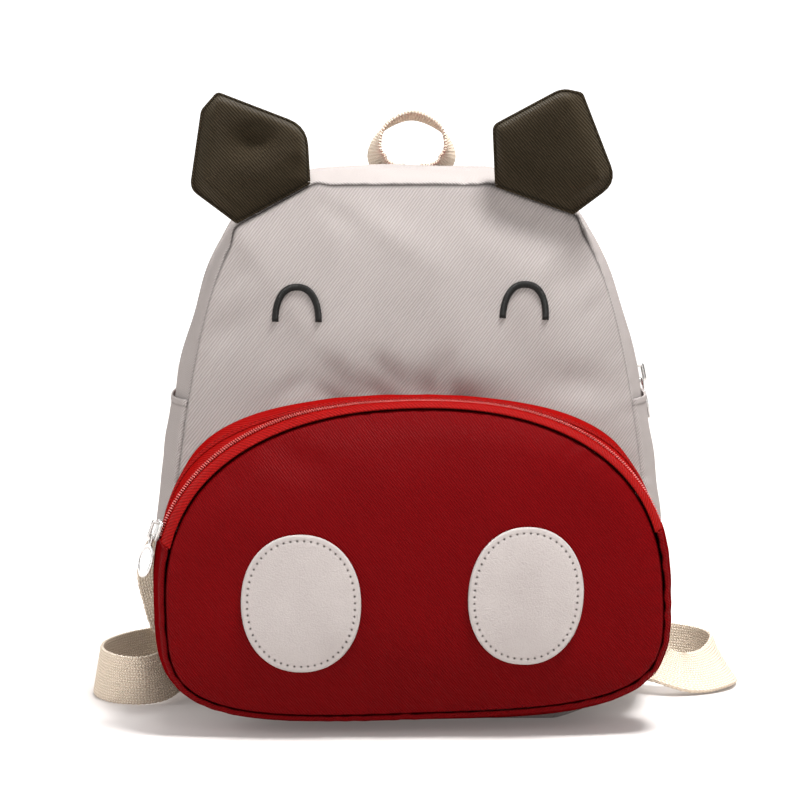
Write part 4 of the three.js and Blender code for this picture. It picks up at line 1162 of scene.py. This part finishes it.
def points_of(mesh):
    points = np.empty(len(mesh.vertices) * 3)
    mesh.vertices.foreach_get("co", points)
    return points.reshape(-1, 3)


def set_points(mesh, points):
    mesh.vertices.foreach_set("co", points.ravel())
    mesh.update()


def puff_up(piece, pinned):
    """Blow the padded piece up with a cloth simulation, cap its movement and keep the result."""
    group = piece.vertex_groups.new(name=EAR_CLOTH["vertex_group_mass"])
    group.add([int(i) for i in np.nonzero(pinned)[0]], 1.0, "REPLACE")
    before = points_of(piece.data)
    cloth = piece.modifiers.new("padding", "CLOTH")
    for key, value in EAR_CLOTH.items():
        setattr(cloth.settings, key, value)
    cloth.settings.effector_weights.gravity = 0
    scene = bpy.context.scene
    for step in range(1, EAR_FRAMES + 1):
        scene.frame_set(step)
    after = points_of(piece.evaluated_get(bpy.context.evaluated_depsgraph_get()).to_mesh())
    piece.modifiers.remove(cloth)
    piece.vertex_groups.remove(group)
    scene.frame_set(1)
    move = after - before
    size = np.linalg.norm(move, axis=1, keepdims=True)
    move *= np.minimum(1, EAR_FURTHEST * MM / np.maximum(size, 1e-9))
    set_points(piece.data, before + move)


def ear_puff(local, ring, corners, bevelled):
    """Share of an ear's half thickness: flat in the middle, turned or bevelled down to its edges."""
    total = np.sqrt(np.clip(1 - ring ** EAR_EDGE["corner_power"], 0, 1))
    for i, corner in enumerate(corners):
        side = unit(corners[(i + 1) % len(corners)] - corner)
        inside = np.clip((local - corner) @ np.array([-side[1], side[0]]), 0, None)
        if i == 0:
            total = total * np.minimum(inside / EAR_BASE["taper"], 1) ** EAR_BASE["power"]
        elif bevelled and i in (1, 2):
            total = total * np.minimum(inside / EAR_EDGE["bevel"] + EAR_EDGE["bevel_start"], 1)
        else:
            total = total * np.sqrt(1 - (1 - np.minimum(inside / EAR_EDGE["turn"], 1)) ** 2)
    return total


def add_ear(name, row):
    foot, along, up, base = ear_axes(row)
    ends = [(-base, 0, EAR["base_round"]), (base, 0, EAR["base_round"])]
    table = np.array(ends + row["corners"], float)
    corners = table[:, :2]
    rim = evenly(rounded_polygon(corners, table[:, 2]), DENSE)
    middle = np.array([0, EAR["middle_up"]])
    ring, share = disc_grid(EAR_GRID)
    local = middle + (at(rim, share) - middle) * ring[..., None]
    flat = foot + local[..., :1] * along + local[..., 1:] * up
    half = EAR["thickness"] / 2 * EAR_START
    depth = ear_middle(row, local[..., 1])
    from_rim = (1 - ring) * np.linalg.norm(at(rim, share) - middle, axis=-1)
    # Painted shade along the ear's rim and its sewn base
    shade = EAR_EDGE["dark"] * hump(from_rim, EAR_EDGE["shade"]) + hump(local[..., 1], EAR_BASE["shade"])
    faces, points = [], []
    for side in (-1, 1):
        y = depth + side * half * ear_puff(local, ring, corners, side < 0)
        points.append(standing(flat, y).reshape(-1, 3))
        faces.append(grid_quads(EAR_GRID, (side + 1) // 2 * ring.size, side > 0))
    weave = np.tile(flat.reshape(-1, 2), (2, 1))
    shade = np.tile(shade.ravel(), 2)
    points, faces = np.concatenate(points), np.concatenate(faces)
    piece = add_piece(name, points, faces, "olive_twill", weave, shade, [name])
    rise = (points_of(piece.data)[:, [0, 2]] / MM - foot) @ up
    puff_up(piece, rise < EAR_BASE["pinned"])
    dent_ear(piece.data, row, EAR_DENTS[name], (foot, along, up))
    smoother = piece.modifiers.new("smooth", "SUBSURF")
    smoother.levels = 1
    smoother.render_levels = 1
    add_ear_edge(name, row, rim[rim[:, 1] > EAR_BASE["edge_from"]], (foot, along, up))


def dent_ear(mesh, row, dents, axes):
    """The soft hollows in an ear's front."""
    foot, along, up = axes
    points = points_of(mesh) / MM
    flat = points[:, [0, 2]] - foot
    front = smooth(ear_middle(row, flat @ up) - points[:, 1], 0, EAR_DENT_FADE)
    for across, rise, radius, depth in dents:
        away = np.hypot(flat @ along - across, flat @ up - rise)
        points[:, 1] += depth * hump(away, radius) * front
    set_points(mesh, points * MM)


def add_ear_edge(name, row, rim, axes):
    """The rolled seam that joins an ear's front and back."""
    foot, along, up = axes
    flat = foot + rim[:, :1] * along + rim[:, 1:] * up
    path = standing(flat, ear_middle(row, rim[:, 1]))
    points, faces = tube(path, EAR_EDGE["roll"], EAR_EDGE["roll"], np.array([0, 1.0, 0]), False)
    add_piece(f"{name}_edge", points, faces, "olive_twill", points[:, [0, 2]])


for name, row in EARS.items():
    add_ear(name, row)

# Eyes and nostril patches


def add_eye(name, x, z, lean):
    turn = np.linspace(0, math.pi, EYE_STEPS)
    power = 2 / EYE["squareness"]
    side = np.linspace(-0.5, 0.5, EYE_ROWS)
    half = EYE["half"] + side[None] * EYE["stroke"]
    height = EYE["height"] + side[None] * EYE["stroke"]
    across = half * (np.sign(np.cos(turn)) * np.abs(np.cos(turn)) ** power)[:, None]
    rise = height * (np.abs(np.sin(turn)) ** power)[:, None]
    tilt = math.radians(lean)
    right = x + across * math.cos(tilt) - rise * math.sin(tilt)
    up = z + across * math.sin(tilt) + rise * math.cos(tilt)
    flats = np.stack([right, up], axis=-1)
    run = run_along(flats[:, EYE_ROWS // 2])
    strands = (1 - EYE_STRAND["depth"] * np.cos(run * TURN / EYE_STRAND["pitch"]))[:, None]
    swell = EYE["rise"] * np.sqrt(np.clip(1 - (2 * side) ** 2, 0, 1)) * strands
    ends = np.minimum(1, np.minimum(run, run[-1] - run) / EYE["end"])[:, None] ** 0.5
    under = face_y(flats) - GAP
    outer = standing(flats, under - EYE["base"] - swell * ends)
    points, faces = shell(outer, standing(flats, under), closed=False)
    weave = np.stack([run[:, None] + 0 * across, side[None] * EYE["stroke"] + 0 * across], axis=-1)
    add_piece(name, points, faces, "black_thread", both_faces(weave), None, [name])


def add_nostril(name, x, z, lean, half_width):
    half = (NOSTRIL["half_height"], NOSTRIL["squareness"], NOSTRIL["squareness"])
    rim = super_ellipse(dict(x=x, z=z, roll=lean, half=half_width, upper=half, lower=half))
    inset, pitch, steps = STITCH["inset"], STITCH["pitch"], STITCH["steps"]
    pits = int(outline_length(rim - outwards(rim) * inset) / pitch)
    shares = np.arange(pits * steps) / (pits * steps)
    middle = np.array([x, z])
    edge = at(rim, shares)
    reach = np.linalg.norm(edge - middle, axis=1)
    rings = 1 - PATCH_DISTANCES[None] / reach[:, None]
    rings = np.concatenate([rings, np.zeros((len(shares), 1))], axis=1)[:, ::-1]
    flats = middle + (edge - middle)[:, None] * rings[..., None]
    away = (1 - rings) * reach[:, None]
    beat = np.abs(((np.arange(len(shares)) / steps + 0.5) % 1) - 0.5) * pitch
    groove = hump(away - inset, STITCH["groove_width"])
    pit = groove * hump(beat, STITCH["pit_width"])[:, None]
    edge_round = np.sqrt(np.clip(1 - (1 - np.clip(away / PATCH_EDGE["round"], 0, 1)) ** 2, 0, 1))
    full = PATCH_THICKNESS + PATCH_EDGE["extra"]
    top = full * (PATCH_EDGE["low"] + PATCH_EDGE["rise"] * edge_round)
    top = top - STITCH["groove"] * groove - STITCH["pit"] * pit
    ridge = STITCH["ridge"] * hump(away - inset, STITCH["ridge_width"])
    top = top + ridge * smooth(beat, *STITCH["ridge_from"])[:, None]
    under = pocket_y(flats) - PATCH_GAP
    outer = standing(flats, under - top)
    points, faces = shell(outer, standing(flats, under), closed=True)
    # Painted shade in the stitch holes
    shade = both_faces(pit * STITCH["dark"])
    piece = add_piece(name, points, faces, "leatherette", both_faces(flats), shade, [name])


for name, row in EYES.items():
    add_eye(name, *row)
for name, row in NOSTRILS.items():
    add_nostril(name, *row)

# Webbing


def catmull_rom(points, shares):
    """Centripetal curve through points, at shares of its spans."""
    ends = np.concatenate([[2 * points[0] - points[1]], points, [2 * points[-1] - points[-2]]])
    place = np.clip(shares * (len(points) - 1), 0, len(points) - 1 - 1e-9)
    span = np.floor(place).astype(int)
    t = (place - span)[:, None]
    p0, p1, p2, p3 = (ends[span + k] for k in range(4))
    spans = ((p0, p1), (p1, p2), (p2, p3))
    d0, d1, d2 = (np.linalg.norm(b - a, axis=1, keepdims=True) ** 0.5 for a, b in spans)
    d1 = np.where(d1 < SAME_PLACE, 1, d1)
    d0, d2 = np.where(d0 < SAME_PLACE, d1, d0), np.where(d2 < SAME_PLACE, d1, d2)
    t1 = ((p1 - p0) / d0 - (p2 - p0) / (d0 + d1) + (p2 - p1) / d1) * d1
    t2 = ((p2 - p1) / d1 - (p3 - p1) / (d1 + d2) + (p3 - p2) / d2) * d1
    return p1 + t1 * t + (3 * (p2 - p1) - 2 * t1 - t2) * t**2 + (2 * (p1 - p2) + t1 + t2) * t**3


def add_band(name, points, widths, steps):
    """Webbing along a curve, with a rounded selvage and a faintly scalloped edge."""
    shares = np.linspace(0, 1, steps + 1)
    middle = catmull_rom(points, shares)
    along = unit(np.gradient(middle, axis=0))
    across = catmull_rom(widths, shares)
    across = unit(across - (across * along).sum(axis=1, keepdims=True) * along)
    out = np.cross(across, along)
    run = run_along(middle)
    half = WEBBING["width"] / 2
    place = half * BAND_PLACES
    rounding = np.clip(1 - np.abs(place / half) ** WEBBING["edge_power"], 0, 1) ** 0.5
    selvage = SELVAGE["rise"] * hump(np.abs(place) - half * SELVAGE["place"], SELVAGE["width"])
    thickness = WEBBING["thickness"] / 2 * (WEBBING["edge"] + WEBBING["body"] * rounding) + selvage
    scallop = 1 + SCALLOP["depth"] * np.sin(run * TURN / SCALLOP["pitch"])
    sides = middle[:, None] + across[:, None] * (place[None, :, None] * scallop[:, None, None])
    outer = sides + out[:, None] * thickness[None, :, None]
    inner = sides - out[:, None] * thickness[None, :, None]
    shell_points, faces = shell(outer, inner, closed=False)
    weave = np.stack([place[None] + 0 * run[:, None], run[:, None] + 0 * place[None]], axis=-1)
    piece = add_piece(name, shell_points, faces, "cotton_webbing", both_faces(weave), None, [name])


def add_haul_loop():
    rows = [(-x, z, -splay) for x, z, splay in HAUL_ROWS]
    rows += [(x, z, splay) for x, z, splay in HAUL_ROWS[-2::-1]]
    points = np.array([(HAUL_LOOP["x"] + x, HAUL_LOOP["y"], z) for x, z, _ in rows])
    widths = np.array([(splay, 1, -HAUL_LOOP["tilt"]) for _, _, splay in rows])
    add_band("haul_loop", points, widths, HAUL_STEPS)


def add_strap(name, side, rows):
    table = np.array(STRAP_TOP + rows, float)
    points = table[:, :3] * (side, 1, 1)
    widths = table[:, 3:] * (side, 1, 1)
    add_band(name, points, widths, STRAP_STEPS)


add_haul_loop()
for name, (side, rows) in STRAPS.items():
    add_strap(name, side, rows)

# Zip sliders and pulls


def lofted(outline, layers):
    """Solid through copies of an outline: each layer is a height and an inset."""
    out = outwards(outline)
    rings = [np.column_stack([outline - out * inset, np.full(len(outline), rise)]) for rise, inset in layers]
    count = len(outline)
    faces = []
    for k in range(len(layers) - 1):
        for i in range(count):
            j = (i + 1) % count
            faces.append([k * count + i, k * count + j, (k + 1) * count + j, (k + 1) * count + i])
    faces.append(list(range(count)))
    faces.append([(len(layers) - 1) * count + i for i in range(count)])
    return np.concatenate(rings), faces


def add_metal(name, parts, origin, axes, body):
    points, faces = join_parts(parts)
    placed = origin + points @ np.stack(axes)
    piece = add_piece(name, placed, faces, "slider_metal", replaces=[name], body=body, merge=False)
    piece.data.set_sharp_from_angle(angle=math.radians(METAL_SHARP))


def slider_parts():
    plan = np.array([(a, -h) for a, h in SLIDER_ROWS] + [(a, h) for a, h in SLIDER_ROWS[::-1]], float)
    plan = evenly(rounded_polygon(plan, SLIDER_CORNER), SLIDER_POINTS)
    layers = [(rise - SLIDER_PLATE, inset) for rise, inset in SLIDER_LAYERS]
    wire, foot = BRIDGE["wire"] / 2, BRIDGE["foot"]
    start, end, top = BRIDGE["start"] + wire, BRIDGE["end"] - wire, BRIDGE["height"] - wire
    corners = np.array([(start, foot), (start, top), (end, top), (end, foot)], float)
    # The rounding of the two feet is cut off half way
    bend = rounded_polygon(corners, BRIDGE["bend"])[3:-3]
    arch = tube(standing(bend, np.zeros(len(bend))), BRIDGE["width"] / 2, wire, np.array([0, 1.0, 0]), False)
    return [lofted(plan, layers), arch]


def pull_parts(twist):
    wire = PULL_RING["wire"] / 2
    reach = PULL_RING["end"] - PULL["along"]
    half = PULL_RING["width"] / 2 - wire
    corners = np.array([(0, -half), (reach - wire, -half), (reach - wire, half), (0, half)], float)
    bend = rounded_polygon(corners, PULL_RING["bend"])
    ring = tube(np.column_stack([bend, np.zeros(len(bend))]), wire, wire, np.array([0, 0, 1.0]), True)
    long, wide = PULL_DISC["length"] / 2, PULL_DISC["width"] / 2
    middle = reach - PULL_DISC["overlap"] + long
    turn = np.arange(PULL_DISC["points"]) / PULL_DISC["points"] * TURN
    edge = np.stack([long * np.cos(turn), wide * np.sin(turn)], axis=1)
    rings, rise = np.array(PULL_PROFILE, float).T
    flats = edge[:, None] * rings[None, :, None] + (middle, 0)
    outer = np.concatenate([flats, np.broadcast_to(rise[None, :, None], (*flats.shape[:2], 1))], axis=-1)
    points, faces = shell(outer, outer * (1, 1, -1), closed=True)
    across, rise = points[:, 1].copy(), points[:, 2].copy()
    points[:, 1] = across * math.cos(twist) - rise * math.sin(twist)
    points[:, 2] = across * math.sin(twist) + rise * math.cos(twist)
    return [ring, (points, faces.tolist())]


def main_zip_place(share):
    return gusset_place(np.array(share), np.array(MAIN_ZIP["y"]), np.array(0.0))


def pocket_zip_place(share, beyond=0.0):
    return pocket_at(np.array(share), np.array(POCKET_ZIP["from_seam"] + beyond), np.array(0.0))


def slider_frame(prefix):
    """Middle of a slider on its zip, with the directions down the zip, across it and off the cloth."""
    height = SLIDERS[prefix][0]
    step = 2 / DENSE
    if prefix == "main":
        share, place = share_at_height(crest, height), main_zip_place
        along = unit(place(share - step) - place(share + step))
        out = np.array([1.0, 0, 0])
    else:
        share, place = share_at_height(pocket_seam, height, True), pocket_zip_place
        along = unit(place(share + step) - place(share - step))
        out = np.cross(place(share, 0.1) - place(share), along)
    across = unit(np.cross(out, along))
    up = unit(np.cross(along, across))
    return place(share) + up * (SLIDER_PLATE + GAP), along, across, up


def add_sliders():
    for prefix in SLIDERS:
        origin, along, across, up = slider_frame(prefix)
        lean, twist = np.radians(SLIDERS[prefix][1:])
        add_metal(f"{prefix}_slider", slider_parts(), origin, (along, across, up), "bag")
        hinge = origin + along * PULL["along"] + up * PULL["up"]
        hang = along * math.cos(lean) - up * math.sin(lean)
        face = along * math.sin(lean) + up * math.cos(lean)
        add_metal(f"{prefix}_pull", pull_parts(twist), hinge, (hang, across, face), f"{prefix}_pull_tab")


add_sliders()

# Floor, light and camera


def add_stage(name, corners, colour, glow, tint):
    """A plain pale surface that isn't part of the bag."""
    mesh = bpy.data.meshes.new(name)
    mesh.from_pydata((np.array(corners, float) * MM).tolist(), [], [[0, 1, 2, 3]])
    stage = link_new(name, mesh)
    look = Look(name, emission_color=(*tint, 1), emission_strength=glow, **STAGE_FINISH)
    place = look.add("ShaderNodeTexCoord").outputs["Object"]
    pale = (*(part * STAGE_CLOUD["brighter"] for part in colour), 1)
    cloud = look.mix(look.noise(place, STAGE_CLOUD["scale"]), (*colour, 1), pale)
    look.feed(look.shader.inputs["Base Color"], cloud)
    mesh.materials.append(look.material)


def add_light(name, place, aim, size, power):
    data = bpy.data.lights.new(name, "AREA")
    data.shape = "DISK"
    data.size = size
    data.energy = power
    light = link_new(name, data)
    light.location = place
    light.rotation_euler = (Vector(aim) - Vector(place)).to_track_quat("-Z", "Y").to_euler()


def add_camera():
    azimuth, elevation = math.radians(CAMERA["azimuth"]), math.radians(CAMERA["elevation"])
    level = math.cos(elevation)
    back = Vector((math.sin(azimuth) * level, -math.cos(azimuth) * level, math.sin(elevation)))
    data = bpy.data.cameras.new("camera")
    data.sensor_width = SENSOR
    data.lens = SENSOR * CAMERA["distance"] / (CAMERA["mm_per_pixel"] * FRAME_PIXELS)
    camera = link_new("camera", data)
    camera.location = (Vector(CAMERA["target"]) + back * CAMERA["distance"]) * MM
    camera.rotation_euler = (-back).to_track_quat("-Z", "Y").to_euler()
    bpy.context.scene.camera = camera


def add_world(bright_side, low, high, dim, bright):
    """Soft surround that is dim low in front of the bag and bright above and behind it."""
    world = bpy.data.worlds.new("studio")
    world.use_nodes = True
    nodes, links = world.node_tree.nodes, world.node_tree.links
    lean = nodes.new("ShaderNodeVectorMath")
    lean.operation = "DOT_PRODUCT"
    lean.inputs[1].default_value = bright_side
    links.new(nodes.new("ShaderNodeTexCoord").outputs["Generated"], lean.inputs[0])
    ramp = nodes.new("ShaderNodeMapRange")
    for index, value in enumerate((low, high, dim, bright), 1):
        ramp.inputs[index].default_value = value
    links.new(lean.outputs[1], ramp.inputs[0])
    links.new(ramp.outputs[0], nodes["Background"].inputs["Strength"])
    nodes["Background"].inputs["Color"].default_value = (1, 1, 1, 1)
    bpy.context.scene.world = world


for name, row in STAGES.items():
    add_stage(name, **row)
add_camera()
for name, row in LIGHTS.items():
    add_light(name, **row)
add_world(**SURROUND)
bpy.context.scene.view_settings.view_transform = "Standard"
